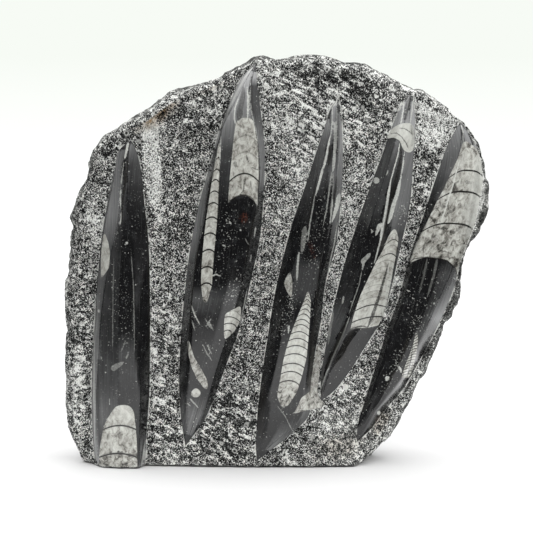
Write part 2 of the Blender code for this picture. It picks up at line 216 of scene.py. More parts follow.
# The fossils, in pixels: both sides from the top down, the heights where the chamber walls
# cross the middle, how far a wall sags to the sides and how far its left end lies lower.
fossils = [
    {"left": [(104, 233), (102, 240), (101, 255), (101, 268), (101, 278)],
     "right": [(105, 233), (108.5, 243), (110, 254), (109, 268), (102, 278)],
     "tone": 0.86},
    {"left": [(120, 405), (115, 407), (111, 413), (106, 421), (103, 430), (100, 446), (98, 470)],
     "right": [(127, 405), (131, 407), (134, 412), (136, 430), (137, 445), (137.5, 470)],
     "walls": [425.5, 453.5], "sag": 4, "skew": 0, "tone": 0.75, "lowest": (446, 464, 0.58)},
    {"left": [(241, 118), (236, 122), (234, 135), (232, 155), (229.5, 180), (228, 204), (231, 199.5),
        (238, 196)],
     "right": [(249, 117.5), (253, 120), (257.5, 138), (259, 160), (258.5, 185), (257, 206), (254, 200.5),
        (246, 195)],
     "walls": [135, 152, 173.5, 195], "sag": 8, "skew": 0, "tone": 0.76, "bold": [2]},
    {"left": [(218.5, 143), (216, 160), (212, 180), (209, 200), (206.5, 217), (204.5, 233), (203, 249),
        (201.5, 267), (201, 285), (203, 302)],
     "right": [(221, 143), (220, 160), (219.5, 180), (218.5, 200), (217.5, 217), (216, 233), (214.5, 249),
        (213, 267), (212, 285), (207, 303)],
     "walls": [157, 169, 179.5, 191, 202.5, 217, 233, 249.5, 266.6, 283], "sag": 2.5, "skew": 0,
        "tone": 0.78, "lowest": (278, 300, 0.6)},
    {"left": [(240, 306), (230, 311), (225, 314), (224, 325), (224, 336)],
     "right": [(241, 306), (241, 314), (240, 322), (234, 332), (225, 340)],
     "walls": [311, 317, 323.5, 330.5, 336], "sag": 3, "skew": 2, "tone": 0.82, "bold": [1, 2, 3]},
    {"left": [(187.5, 340), (188, 352), (191, 366), (197, 379), (205, 389.5)],
     "right": [(189, 340), (194, 357), (203, 372), (207.5, 381), (208, 389)],
     "walls": [356, 370, 382], "sag": 1, "skew": -3, "tone": 0.7, "bold": []},
    {"left": [(195, 388), (191.5, 391), (190.5, 394), (193, 397.5)],
     "right": [(197, 388), (200.5, 391), (201, 394), (198, 397.5)],
     "tone": 0.9},
    {"left": [(307.5, 291), (304, 301), (299, 313), (293, 328), (287, 346), (283, 362), (280, 380),
        (277, 396), (281, 407)],
     "right": [(308.5, 291), (311, 301), (310, 318), (308.5, 338), (306.5, 358), (302, 376), (297, 392),
        (288, 406)],
     "walls": [295, 299.5, 304, 309, 314, 319.5, 324.6, 331.7, 338.4, 345.5, 353.7, 363.4, 371.5, 380.7],
        "sag": 3.5, "skew": 1, "tone": 0.86, "lowest": (376, 394, 0.6)},
    {"left": [(289.5, 272), (286, 277), (284, 284), (287, 292), (291, 298)],
     "right": [(290.5, 272), (292, 279), (292.5, 286), (292, 293), (291.5, 298)],
     "walls": [276, 281, 286, 291], "sag": 2, "skew": 3, "tone": 0.74, "bold": []},
    {"left": [(401, 123.5), (393, 127.5), (388.5, 133), (386, 139), (394, 137.5), (399.5, 140.5),
        (403, 149)],
     "right": [(410, 122.5), (414, 127), (414.5, 140), (413.5, 150), (410, 153), (404, 151)],
     "tone": 0.92},
    {"left": [(393, 229), (388, 237), (383, 250), (376, 262), (368, 279), (360, 296), (353, 318),
        (350, 331), (356, 328)],
     "right": [(396, 229), (398.5, 238), (397.5, 250), (394, 265), (390.5, 285), (387, 303), (380, 325),
        (367, 328), (358, 328)],
     "walls": [233, 239.6, 245, 253.8, 260.3, 266.5, 272.5, 278.5, 284.5, 290.5, 297, 304.7, 316.7],
        "sag": 4.5, "skew": -1.5, "tone": 0.84, "bold": [1, 3, 11, 12]},
    {"left": [(463, 142), (458, 158), (450, 175), (443, 190), (437, 201), (427, 222), (416, 243),
        (409, 263), (425, 257), (440, 258.5)],
     "right": [(467, 141), (476, 148), (484, 160), (486, 180), (483, 208), (474, 240), (462, 272),
        (457, 279), (456, 268), (447, 260)],
     "walls": [147, 170.5, 191.5, 223.5, 257], "sag": 9, "skew": 1, "power": 3, "tone": 0.72, "bold": [1,
        2, 3], "lowest": (226, 245, 0.64)},
    {"left": [(416.5, 330), (413, 345), (409, 356), (405, 366), (401, 378)],
     "right": [(417.5, 330), (418, 341), (416, 357), (412.5, 370), (409, 378)],
     "walls": [334, 337, 340, 343, 345.8, 348.6, 351.4, 354.2, 357, 359.8, 362.6, 365.4, 368.2, 371, 374],
        "sag": 0.8, "skew": -1, "tone": 0.7},
    {"left": [(388, 309), (384, 312), (382.5, 320), (383, 331)],
     "right": [(390.5, 309), (391, 315), (388.5, 324), (385.5, 332)],
     "tone": 0.88},
    {"left": [(317, 345), (314, 362), (311, 380), (310.5, 391), (301, 398), (297, 408), (293, 414),
        (308, 410)],
     "right": [(322, 345), (321, 362), (319, 378), (317, 391), (320, 399), (325, 404), (321, 408),
        (309, 410)],
     "tone": 0.7, "smooth": True},
]

# Streaks and specks in the polish and on the stone, in pixels: a path, its width (or the widths at
# both ends) and how strongly it shows. They run out to points. A path with one point is a dot. The
# pale lines along the ridges' crests and creases are painted glints; the other pale ones are pale
# calcite and scratches.
paleStreaksAndGlints = [
    ([(128.5, 142), (126.5, 151), (124.5, 160)], 2.6, 2.0, 0.85), ([(124, 161), (122.5, 172), (121, 186)],
    1.0, 1.6, 0.6), ([(121, 188), (120.3, 197), (120.5, 207)], 1.6, 1.8, 0.9), ([(121.5, 211), (121, 219),
    (119.5, 226)], 1.6, 1.4, 0.8), ([(127, 243)], 2.9, 0.7), ([(114, 258), (113, 290), (112.5, 352)], 1.1,
    0.2), ([(131, 252), (133.5, 285), (134.5, 352)], 1.1, 1.6, 0.22), ([(95.3, 290), (94, 350),
    (93.8, 400), (95, 450)], 1.8, 1.6, 0.38), ([(111, 370), (116, 366.5), (124, 362)], 7.0, 3.0, 0.28),
    ([(126, 359), (129, 351)], 2.4, 1.2, 0.3), ([(121, 352), (126, 340)], 1.4, 1.0, 0.22),
    ([(108.5, 345)], 1.3, 0.6), ([(105.5, 372.5)], 1.4, 0.7), ([(109.5, 398), (109.5, 405)], 1.0, 0.5),
    ([(99, 309), (99, 313)], 1.4, 0.7), ([(145, 427.5)], 2.2, 0.6), ([(101, 356), (101.5, 360)], 1.4, 1.2,
    0.35), ([(145.5, 440), (143.5, 452), (141.5, 466)], 1.0, 1.2, 0.55), ([(147, 446), (145.5, 455),
    (145, 466)], 1.0, 1.2, 0.55), ([(247, 86), (248, 100), (247.5, 119)], 1.5, 2.0, 0.9), ([(251, 78),
    (250, 98), (252, 114), (256, 130), (258.5, 146)], 1.0, 0.45), ([(254, 66), (245, 77), (238, 90),
    (230, 108)], 1.8, 1.2, 0.65), ([(246, 76), (236, 93), (228, 111), (222, 128)], 1.2, 1.0, 0.55),
    ([(239, 97), (235, 108), (234.3, 118), (235.5, 125)], 1.2, 1.6, 0.9), ([(221, 136), (220.2, 150),
    (219.8, 166)], 1.6, 1.2, 0.6), ([(216, 156), (214, 167), (211.5, 180)], 1.0, 0.5), ([(257.3, 194),
    (257.5, 202), (256.8, 207)], 1.0, 1.4, 0.6), ([(255.8, 227), (254, 238)], 1.8, 1.2, 0.55),
    ([(251.3, 254), (250.5, 262)], 1.2, 1.0, 0.5), ([(245, 238), (247.5, 243), (249.5, 245)], 1.0, 0.35),
    ([(212, 276), (216.5, 274.5), (220, 276)], 1.8, 1.4, 0.75), ([(229, 221), (231.5, 224.5)], 1.8, 0.75),
    ([(240.5, 230)], 2.0, 0.75), ([(222, 245), (226.5, 246.5)], 1.8, 1.4, 0.6), ([(244, 222)], 1.2, 0.5),
    ([(191.3, 305), (194.5, 314.5), (200, 325)], 1.8, 1.0, 0.75), ([(192, 320), (195, 331)], 1.2, 1.0,
    0.4), ([(189.5, 398), (194, 403), (198.5, 408)], 1.8, 1.2, 0.5), ([(187, 403), (191, 406.5)], 1.6,
    1.2, 0.4), ([(247.5, 288), (243.5, 308), (239.5, 327)], 1.0, 0.6), ([(337, 87), (338, 93),
    (338.3, 99)], 1.4, 0.9), ([(338.3, 98), (334.5, 104), (331.5, 109)], 1.2, 0.8), ([(339, 96),
    (341, 108), (342.5, 124), (343, 150)], 1.2, 0.7), ([(205, 318.5), (211, 328)], 1.1, 0.4),
    ([(211.5, 318), (206, 327)], 1.1, 0.4), ([(209.5, 322), (213.5, 331)], 1.1, 0.35), ([(203, 345),
    (208, 356)], 1.1, 0.4), ([(207, 344), (211.5, 354)], 1.3, 0.4), ([(206, 351), (212, 361)], 1.1, 0.35),
    ([(332.5, 106), (332, 120), (330.5, 138)], 1.0, 1.2, 0.6), ([(330, 136), (327.3, 152), (323.5, 169)],
    1.8, 2.8, 0.9), ([(323.8, 165), (319.5, 181), (315.5, 196)], 2.8, 1.8, 0.9), ([(334, 122), (335, 140),
    (334.3, 156), (333, 172)], 1.6, 3.6, 0.55), ([(336.8, 104), (337, 125), (336.5, 150)], 1.0, 0.35),
    ([(331.5, 172), (329, 192), (326.5, 210), (323, 226)], 1.8, 1.2, 0.38), ([(334, 174), (332.5, 195),
    (330, 213)], 1.0, 0.3), ([(339.5, 193), (337, 207), (331.5, 223)], 5.4, 2.0, 0.9), ([(333, 200),
    (330, 224)], 1.4, 1.6, 0.6), ([(315.3, 193), (313, 207), (310, 223), (308, 242)], 1.4, 1.2, 0.5),
    ([(305, 226), (303.5, 240), (302, 253)], 5.4, 4.0, 0.28), ([(298.8, 252), (297.5, 266), (296.8, 281)],
    2.4, 2.2, 0.6), ([(337.5, 222), (334, 245), (330, 262), (327, 278), (324, 296)], 1.4, 1.2, 0.6),
    ([(289, 325), (288.3, 334)], 2.6, 1.2, 0.85), ([(284, 407)], 2.6, 0.3), ([(276, 404), (285, 416),
    (292, 430), (300, 437)], 1.0, 0.28), ([(292, 414), (298, 410), (305, 409.3), (313, 410)], 1.2, 1.0,
    0.5), ([(317.5, 347.5), (323, 351.5)], 2.6, 2.2, 0.85), ([(414, 91), (412.5, 108), (410.3, 123)], 1.2,
    0.85), ([(405.5, 97), (400, 108), (395, 118), (390.5, 130)], 1.2, 0.85), ([(404.5, 103), (402.5, 115),
    (400.5, 125)], 1.2, 1.8, 0.85), ([(408.5, 94), (407.5, 110)], 1.0, 0.35), ([(416.5, 100),
    (415.5, 125), (415, 150)], 1.0, 0.5), ([(400.3, 140), (398, 155), (394.5, 167), (391, 180)], 1.2, 1.5,
    0.95), ([(391.5, 176), (388.3, 195), (386, 212), (383, 228), (380, 243)], 1.8, 4.0, 0.88),
    ([(381.5, 236), (377.5, 252), (374, 264)], 2.2, 1.4, 0.7), ([(404.7, 151), (403, 165), (400.3, 181)],
    1.0, 2.0, 0.95), ([(401, 177), (397.5, 193), (393, 207), (388.3, 224)], 2.8, 5.0, 0.88),
    ([(402, 206)], 1.6, 0.8), ([(404.3, 213)], 1.3, 0.7), ([(400, 218.5)], 1.5, 0.7), ([(398.5, 224)],
    1.2, 0.5), ([(376.5, 180.5)], 6.4, 0.78), ([(388.3, 170), (386.3, 175.5)], 1.3, 0.6), ([(370.7, 229),
    (372.6, 231.5), (371, 233.5)], 1.2, 0.75), ([(381, 223), (378, 229), (375.5, 236)], 5.0, 2.0, 0.8),
    ([(370.3, 253), (366.5, 258), (361, 262.5)], 3.6, 5.0, 0.5), ([(364, 261), (362.3, 270)], 3.0, 1.6,
    0.5), ([(343.7, 296), (342.3, 304)], 2.2, 1.8, 0.6), ([(362, 270), (359, 285), (353, 302),
    (349, 314)], 1.0, 1.2, 0.4), ([(350, 316), (342, 337), (333, 357), (325, 377), (318.5, 396)], 1.8,
    1.5, 0.42), ([(333, 309), (330.5, 325), (328, 345)], 4.0, 2.4, 0.35), ([(388.5, 262), (388, 280),
    (385.5, 300), (381, 318)], 1.0, 0.5), ([(459.5, 161), (456, 173), (453, 185), (449, 197), (445, 210),
    (440.5, 224)], 1.4, 1.8, 0.95), ([(460.5, 123), (463, 132), (463.5, 143)], 1.2, 0.55), ([(470, 148),
    (477, 157), (480.5, 172)], 1.2, 0.45), ([(478, 160), (481.5, 178), (481, 198)], 1.2, 0.45),
    ([(446, 144), (441, 158), (437.5, 172)], 1.4, 1.2, 0.5), ([(406, 290), (410.5, 291.5)], 1.6, 1.4,
    0.8), ([(412, 297), (413.5, 299.5)], 1.4, 1.2, 0.7), ([(438, 283)], 1.7, 0.75), ([(434, 303.5)], 2.0,
    0.75), ([(417.3, 305)], 1.5, 0.6), ([(403.5, 303.5)], 1.3, 0.6), ([(406.5, 319.5)], 1.2, 0.55),
    ([(420, 318)], 1.5, 0.7), ([(413, 322), (414.5, 324)], 1.4, 1.2, 0.7), ([(420.3, 331)], 1.3, 0.6),
    ([(395.5, 350.5)], 1.4, 0.4), ([(427.3, 258), (424, 275), (419, 294)], 2.4, 1.6, 0.16),
    ([(437.5, 258), (434, 275), (427, 298)], 3.0, 2.0, 0.17), ([(395, 365), (398.3, 366), (400.5, 369),
    (401.3, 373)], 1.8, 2.2, 0.9), ([(387.5, 378.5)], 5.2, 0.85), ([(377, 412), (380.5, 413.5)], 4.0, 5.0,
    0.8), ([(345.7, 387)], 6.4, 0.9), ([(394, 406), (397, 408.5)], 3.4, 0.7),
]
darkStreaks = [
    ([(128, 158), (126.3, 170), (125, 182), (122.7, 200), (121.5, 226)], 3.4, 1.6, 0.95), ([(116, 168),
    (109, 200), (103, 234), (99.5, 262), (97.5, 290)], 1.4, 1.2, 0.75), ([(97.5, 288), (95.8, 320),
    (93, 350), (92.6, 400), (93.4, 440), (96, 462)], 1.0, 0.75), ([(141, 184), (145, 212), (148, 240),
    (149, 290), (149, 350), (148.3, 400)], 1.6, 2.4, 0.9), ([(144, 438), (142, 452), (140, 467)], 1.2,
    1.4, 0.85), ([(98, 458), (104, 454), (113, 453), (122, 453.5), (130, 456), (137, 460)], 1.2, 0.6),
    ([(118.5, 451.5)], 2.4, 0.95), ([(122, 452)], 2.2, 0.9), ([(114, 438), (118, 434), (122, 432)], 1.8,
    1.4, 0.4), ([(105, 443)], 1.4, 0.4), ([(119, 442)], 1.4, 0.4), ([(108, 440)], 1.2, 0.3),
    ([(126, 444)], 1.2, 0.3), ([(251.5, 77), (252, 90), (252, 104), (256, 120)], 1.4, 1.2, 0.8),
    ([(243.5, 86), (243, 96), (240.5, 108), (238.5, 121)], 4.0, 7.0, 0.62), ([(252, 63), (247.5, 69),
    (243, 76)], 1.4, 1.2, 0.8), ([(229, 108), (222, 129), (215.5, 152), (212, 178), (207, 200),
    (201.5, 228)], 1.4, 1.8, 0.85), ([(201, 226), (198.5, 245), (194, 272), (191.5, 300), (190, 322),
    (188, 350), (188, 372)], 2.2, 1.2, 0.9), ([(254, 122), (258, 145), (259.5, 175), (257.5, 204)], 1.2,
    1.6, 0.85), ([(219.5, 160), (219.3, 185), (218.3, 205), (217, 228)], 1.2, 1.6, 0.85), ([(255, 212),
    (252, 228), (248, 250), (243.5, 270)], 2.4, 2.0, 0.6), ([(235, 161), (235.7, 168)], 3.6, 3.2, 0.6),
    ([(246.3, 155), (248.5, 163)], 1.7, 1.5, 0.8), ([(245.8, 177), (244, 185), (243.3, 192)], 1.5, 1.3,
    0.8), ([(240.5, 193.5), (244, 190.5)], 1.5, 1.4, 0.75), ([(246, 134.5)], 2.0, 0.85), ([(250, 180),
    (252, 190)], 2.2, 0.35), ([(233, 171), (234, 177)], 1.5, 1.4, 0.4), ([(247, 139), (247.6, 150)], 1.2,
    1.0, 0.35), ([(240, 124), (240.8, 128)], 2.4, 2.2, 0.4), ([(251, 167.5), (254, 168), (258, 170.5)],
    1.2, 1.0, 0.7), ([(256, 185), (255.5, 192)], 1.4, 1.2, 0.35), ([(228, 205), (231.5, 199.5),
    (238, 196), (246, 195), (252, 198), (257, 206)], 1.6, 0.9), ([(213, 205), (211, 209)], 1.6, 1.3, 0.5),
    ([(208, 225), (212, 228)], 1.5, 0.45), ([(211, 212)], 1.5, 0.5), ([(214, 222)], 1.3, 0.4),
    ([(191, 391), (193, 397.5), (198.5, 398), (201, 393.5)], 1.0, 0.6), ([(195, 392), (197, 394.5)], 1.3,
    1.0, 0.35), ([(329.5, 145), (330, 155), (328.5, 166)], 3.4, 2.6, 0.85), ([(318, 172), (314, 190),
    (311, 207), (307, 232)], 1.4, 1.6, 0.9), ([(336.5, 176), (335.8, 190), (333, 204)], 1.6, 1.8, 0.85),
    ([(340, 100), (339.5, 125), (339, 150)], 1.0, 1.2, 0.55), ([(328, 172), (325.5, 186), (322, 202)],
    1.2, 0.8), ([(322, 250), (318.5, 275), (316, 300), (313.5, 340), (311, 365)], 1.8, 2.0, 0.8),
    ([(409.5, 97), (407, 108), (405, 121)], 3.4, 3.6, 0.55), ([(389.5, 134), (396, 132.8), (401.5, 136.5),
    (406, 143), (409, 150)], 1.1, 1.3, 0.8), ([(398.5, 128), (404.5, 128.5), (410, 132), (414.5, 138)],
    1.1, 1.2, 0.85), ([(386, 139.5), (394, 138), (399.3, 141), (402.5, 149)], 1.3, 1.2, 0.8),
    ([(400.3, 144), (401.3, 156), (398, 171), (394.5, 187), (390.5, 200), (387.5, 216), (384.5, 231),
    (381, 247)], 3.6, 3.2, 0.9), ([(413.5, 152), (413, 175), (410.5, 200), (407, 222)], 1.4, 0.75),
    ([(389, 261), (385.3, 275), (381, 290), (376.5, 304), (372, 317), (367.5, 328)], 1.8, 4.2, 0.92),
    ([(398.5, 243), (395.5, 262), (392.3, 280)], 1.6, 1.4, 0.9), ([(381.5, 310), (381.3, 321),
    (382.5, 332)], 1.0, 1.2, 0.6), ([(350, 331.5), (355.5, 327.5), (361.5, 326), (368, 327.5)], 1.8, 1.6,
    0.9), ([(346, 322), (340, 338), (333, 353), (326, 370)], 4.5, 6.5, 0.75), ([(353, 327), (348, 342),
    (341, 356), (334, 370)], 6.0, 6.5, 0.85), ([(313, 328), (311.5, 350), (310, 370), (308, 388)], 4.5,
    5.0, 0.85), ([(263, 384), (262, 405), (260.5, 420), (260, 440)], 9.0, 5.0, 0.7), ([(440.5, 229),
    (444, 228), (448, 229)], 2.8, 2.6, 0.85), ([(449.5, 231), (455.5, 233)], 3.4, 3.2, 0.8), ([(456, 229),
    (462, 231)], 4.0, 4.2, 0.4), ([(425, 247), (430, 241), (437, 234.5)], 3.2, 2.6, 0.45), ([(421, 251),
    (427, 245)], 2.4, 0.4), ([(429, 250), (435, 244)], 2.6, 2.2, 0.45), ([(478, 165), (474, 190),
    (468, 215), (460, 240)], 8.0, 10.0, 0.22), ([(411, 124), (413.5, 134), (412, 147)], 3.0, 0.35),
    ([(439, 250), (447, 252), (453, 254.5)], 1.3, 1.2, 0.6), ([(454.5, 184.5), (459.5, 180.5)], 2.4, 2.0,
    0.6), ([(464.5, 181.5), (470.5, 183)], 4.0, 3.6, 0.45), ([(476.3, 176), (476.3, 181)], 1.6, 0.7),
    ([(440, 206), (446.5, 206.5)], 4.0, 3.0, 0.5), ([(450.5, 211.5)], 3.6, 0.55), ([(454.5, 200.5),
    (457.5, 196.5)], 1.8, 1.5, 0.55), ([(464.5, 203), (466.5, 212)], 2.6, 2.4, 0.3), ([(462.5, 212),
    (466, 223)], 2.0, 0.25), ([(432, 204), (436, 199)], 1.6, 0.3), ([(408.5, 263.5), (413.5, 259),
    (424, 257), (438, 258.3), (447, 260.5), (455, 268), (458, 277)], 1.6, 0.9), ([(453.5, 170.5),
    (448, 180), (439.5, 197)], 1.4, 1.2, 0.5), ([(426, 224), (417, 242), (411, 257)], 1.4, 0.6),
    ([(413.3, 342), (411.5, 356), (409.3, 368), (406.5, 379)], 1.0, 1.4, 0.85), ([(409, 333), (406, 345),
    (400.5, 360), (392, 376), (385.5, 388), (380, 398)], 4.0, 3.0, 0.85), ([(369, 385), (365, 400),
    (361.3, 412)], 1.2, 1.8, 0.7),
]

# Flecks of pale mineral in the polish: place, half sizes across and down, turn, strength.
flecks = [
    ((121, 198), 3, 40, 3, 0.9), ((135, 208), 9, 14, 0, 0.4), ((122, 315), 11, 34, 0, 0.5), ((228, 226),
    10, 20, 8, 0.8), ((224, 262), 9, 26, 8, 0.5), ((236, 285), 7, 18, 18, 0.9), ((228, 305), 8, 12, 0,
    0.5), ((209, 323), 5, 8, 0, 0.9), ((207, 350), 6, 8, 0, 0.9), ((196, 318), 5, 14, -10, 0.5),
    ((189, 410), 3, 16, 0, 0.4), ((321, 205), 5, 24, 12, 0.7), ((316, 250), 7, 34, 12, 0.6), ((286, 318),
    6, 32, 14, 0.9), ((293, 300), 4, 16, 12, 0.9), ((304, 240), 4, 16, 6, 1.2), ((313, 300), 3, 40, 8,
    0.6), ((283, 395), 9, 8, 0, 0.8), ((352, 215), 20, 60, 22, 0.3), ((403, 212), 4, 10, 10, 1.6),
    ((410, 302), 10, 30, 18, 0.45), ((432, 300), 10, 26, 18, 0.5), ((397, 364), 6, 30, 26, 1.2),
    ((416, 322), 7, 12, 18, 0.9), ((407, 105), 3, 14, 8, 1.0), ((385, 300), 5, 40, 16, 0.5),
]

# How grey each facet is painted: partly a dull haze of the polish and partly painted reflection of
# the bright floor, backdrop and overhead light. The ridge, the two lines each lies between, and
# heights in pixels with the greyness at the left line and at the right one. Below 0 the facet has
# less gloss instead.
hazeAndReflectionFacets = [
    (0, "left", "leftEdge", [
        (150, 0.45, 0.3), (215, 0.7, 0.5), (245, 0.3, 0.2), (292, 0.35, 0.15), (345, 0.55, 0.3),
        (395, 1.3, 0.6), (475, 1.1, 0.5)]),
    (0, "leftEdge", "crest", [
        (150, 0), (175, 0.05, 0), (200, 0.28, 0.1), (235, 0.08, 0.02), (320, 0.08, 0.04),
        (345, 0.1, 0.05), (372, 0.16, 0.12), (412, 0.25, 0.15), (445, 0)]),
    (0, "crest", "rightEdge", [
        (140, 0.7, 0.6), (160, 0.3), (185, 0.15), (225, 0), (305, 0), (332, 0), (352, 0.12, 0.1),
        (372, 0.08, 0.06), (392, 0)]),
    (0, "rightEdge", "right", [
        (140, 0.6, 0.4), (165, 0.1, 0.15), (200, 0.02, 0.05), (225, 0), (250, -0.7), (278, -0.7),
        (300, 0), (430, 0), (452, 0.4)]),
    (1, "left", "leftEdge", [
        (62, 1.5, 1.3), (95, 1.4, 1.2), (112, 0.45, 0.35), (150, 1.1, 0.8), (172, 0.6, 0.4),
        (190, 0.4, 0.2), (235, 0.6, 0.2), (262, 0.2, 0.05), (320, 0.1, 0.05), (345, 0), (390, 0),
        (420, 0.2)]),
    (1, "leftEdge", "crest", [
        (62, 1.2, 1), (90, 0.8, 0.6), (118, 0.6, 0.5), (150, 0.15, 0.1), (190, 0, 0.1), (200, 0),
        (214, -0.35), (256, -0.35), (270, 0), (285, 0), (300, 0.25, 0.1), (318, 0), (395, 0),
        (416, 0.35, 0.3)]),
    (1, "crest", "rightEdge", [
        (62, 1.4, 1.2), (84, 1, 0.6), (118, 0.8, 0.2), (200, 0), (212, -0.5), (240, -0.5), (262, -0.2),
        (290, 0.1), (300, 0.1), (320, 0), (395, 0), (416, 0.3, 0.25)]),
    (1, "rightEdge", "right", [
        (62, 1.5, 1.4), (76, 1.2), (86, 0.1), (110, 0.05, 0.15), (140, 0.4), (182, 0.4, 0.45),
        (196, 0, 0.05), (262, 0), (390, 0), (412, 0.08)]),
    (2, "left", "leftEdge", [
        (98, 0.9, 0.8), (125, 0.6, 0.7), (140, 0.22, 0.25), (170, 0.05, 0.15), (200, 0.05), (230, 0),
        (390, 0), (405, -0.8), (430, -0.7), (448, 0)]),
    (2, "leftEdge", "crest", [
        (98, 0.4), (130, 0.5, 0.4), (150, 0.08), (172, 0.25, 0.1), (200, 0), (258, 0), (270, 0.12),
        (290, 0.12), (310, 0)]),
    (2, "crest", "rightEdge", [
        (98, 0.4), (132, 0.05), (150, 0), (172, 0.25, 0.3), (190, 0, 0.05), (210, -0.2), (256, 0),
        (270, 0.12, 0.1), (292, 0.12, 0.1), (304, 0), (420, 0), (440, 0.2, 0.3)]),
    (2, "rightEdge", "right", [
        (98, 0.6, 0.8), (140, 0.55, 0.75), (185, 0.25, 0.45), (225, 0.15, 0.35), (250, 0, 0.05),
        (262, -0.7), (310, -0.5), (330, -0.4), (344, -1), (360, -1), (372, -0.7), (380, 0),
        (396, 0.2, 0.3), (430, 0.15, 0.3), (450, 0.4, 0.5), (451, 0)]),
    (3, "left", "leftEdge", [
        (91, 0.6), (125, 0.7, 0.8), (138, 0.1), (200, 0.1), (235, 0), (295, 0.05), (322, 0.3, 0.15),
        (350, 0.2, 0.1)]),
    (3, "leftEdge", "crest", [
        (91, 0.2), (110, 0.3), (128, 1.2, 1), (142, 0.4), (165, 0.15), (205, 0.1), (230, 0), (325, 0),
        (340, -0.8), (368, -0.7), (380, 0)]),
    (3, "crest", "rightEdge", [
        (91, 0.4, 0.6), (128, 0.9), (150, 0.25, 0.2), (185, 0.05), (195, -0.4), (212, -0.3), (228, 0.05),
        (250, 0), (340, 0), (355, -0.6), (375, -0.6), (385, 0)]),
    (3, "rightEdge", "right", [
        (91, 1.4, 1.6), (140, 1.2), (150, 0.5, 0.45), (205, 0.48, 0.4), (235, 0.2, 0.15),
        (262, 0.05, 0.3), (325, 0, 0.2), (330, 0)]),
    (4, "left", "leftEdge", [
        (122, 0.6, 0.9), (150, 0.4, 0.35), (178, 0.14, 0.06), (205, 0)]),
    (4, "leftEdge", "crest", [
        (122, 0.35), (145, 0.45), (165, 0)]),
    (4, "crest", "rightEdge", [
        (122, 0.5), (145, 0.6), (165, 0), (260, 0), (275, 0.12, 0.15), (294, 0.03, 0.1),
        (314, 0.03, 0.16), (334, 0.08, 0.16), (350, 0)]),
    (4, "rightEdge", "right", [
        (122, 0.9), (145, 0.9), (165, 0), (258, 0.3, 0.35), (285, 0.25, 0.5), (300, 0.3, 0.8),
        (318, 0.5, 1.3), (330, 0.2, 0.5), (340, 0.1, 0.3), (350, 0)]),
]

# Shells that the rough surface only shows as a paler shape: their outlines in pixels.
ghosts = [
    ([(141, 116), (156.5, 110), (159, 132), (161.5, 160), (163, 196), (152, 207), (146, 196), (143, 160)],
      0.8),
    ([(418, 94), (432, 93), (447, 103), (457, 118), (455, 130), (444, 146), (432, 153), (423, 148),
      (419, 125)], 0.55),
    ([(322, 408), (340, 404), (356, 415), (352, 432), (330, 440), (316, 430)], 0.12),
]

# Broad soft patches: place, half sizes across and down, turn in degrees, strength.
brownPatches = [
    ((244, 218), 7, 8, 0, 0.9), ((312, 250), 4, 17, -14, 0.8), ((383, 425), 12, 26, -35, 0.7),
    ((338, 447), 24, 12, -8, 0.45), ((155, 114), 22, 10, -32, 1.6), ((208, 86), 20, 6, -22, 0.6),
    ((120, 446), 16, 8, 0, 0.25),
]
# paler and darker stone. The darker strip along the top edge, at (320, 68) and (348, 90), is painted shade
# on the upward-facing rim; the pale patch on the right rim, at (478, 205), is painted light from the right.
palePatchesAndPaintedLight = [
    ((478, 205), 12, 40, 0, 0.9), ((150, 128), 10, 16, 0, 0.5), ((105, 150), 12, 12, 0, -0.3), ((348, 90),
    30, 14, 20, -0.35), ((205, 120), 30, 14, -25, -0.3), ((300, 130), 16, 40, 0, 0.6), ((294, 190), 14,
    60, 12, 0.3), ((157, 200), 6, 36, -4, 0.45), ((425, 118), 22, 34, 18, 0.5), ((268, 60), 14, 5, 8,
    0.3), ((78, 405), 8, 46, 0, 0.65), ((90, 215), 10, 40, -14, 0.85), ((275, 110), 12, 40, -10, 0.35),
    ((325, 425), 24, 22, -20, 0.1), ((237, 425), 20, 30, 10, -0.55), ((112, 212), 5, 44, 10, 0.8),
    ((345, 225), 14, 60, 16, 0.5), ((445, 360), 12, 45, 28, -0.2), ((352, 432), 34, 26, -10, 0.2),
    ((245, 330), 12, 60, 10, -0.25), ((165, 260), 14, 60, 0, 0.05), ((320, 68), 50, 12, 5, -0.35),
]

# Where the stone broke smooth instead of being pecked.
calmPatches = [
    ((345, 430), 36, 34, -20, 0.62), ((445, 360), 12, 45, 28, 0.4), ((300, 66), 40, 8, 6, 0.3),
    ((380, 405), 14, 30, 30, 0.4),
]

# Where a shell is paler or darker.
shellPatches = [
    ((479, 195), 9, 50, 8, 0.32), ((438, 214), 11, 10, 0, -0.12), ((466, 168), 9, 14, 0, 0.12),
    ((412, 350), 6, 12, 0, 0.1), ((405, 133), 12, 16, 0, 0.14), ((122, 415), 14, 12, 0, 0.12),
]

# Where the point was dragged and left long strokes.
strokePatches = [
    ((77, 380), 13, 100, 0, 1.2), ((165, 350), 14, 60, 0, 0.8), ((222, 430), 40, 36, 0, 1.1), ((330, 95),
    70, 45, 10, 1.0), ((165, 430), 16, 40, 0, 0.8), ((350, 420), 40, 40, 0, 0.7), ((300, 150), 14, 30, 20,
    0.7), ((200, 100), 40, 22, -25, 0.6), ((435, 170), 14, 40, 12, 0.7), ((85, 250), 10, 60, -10, 0.4),
]

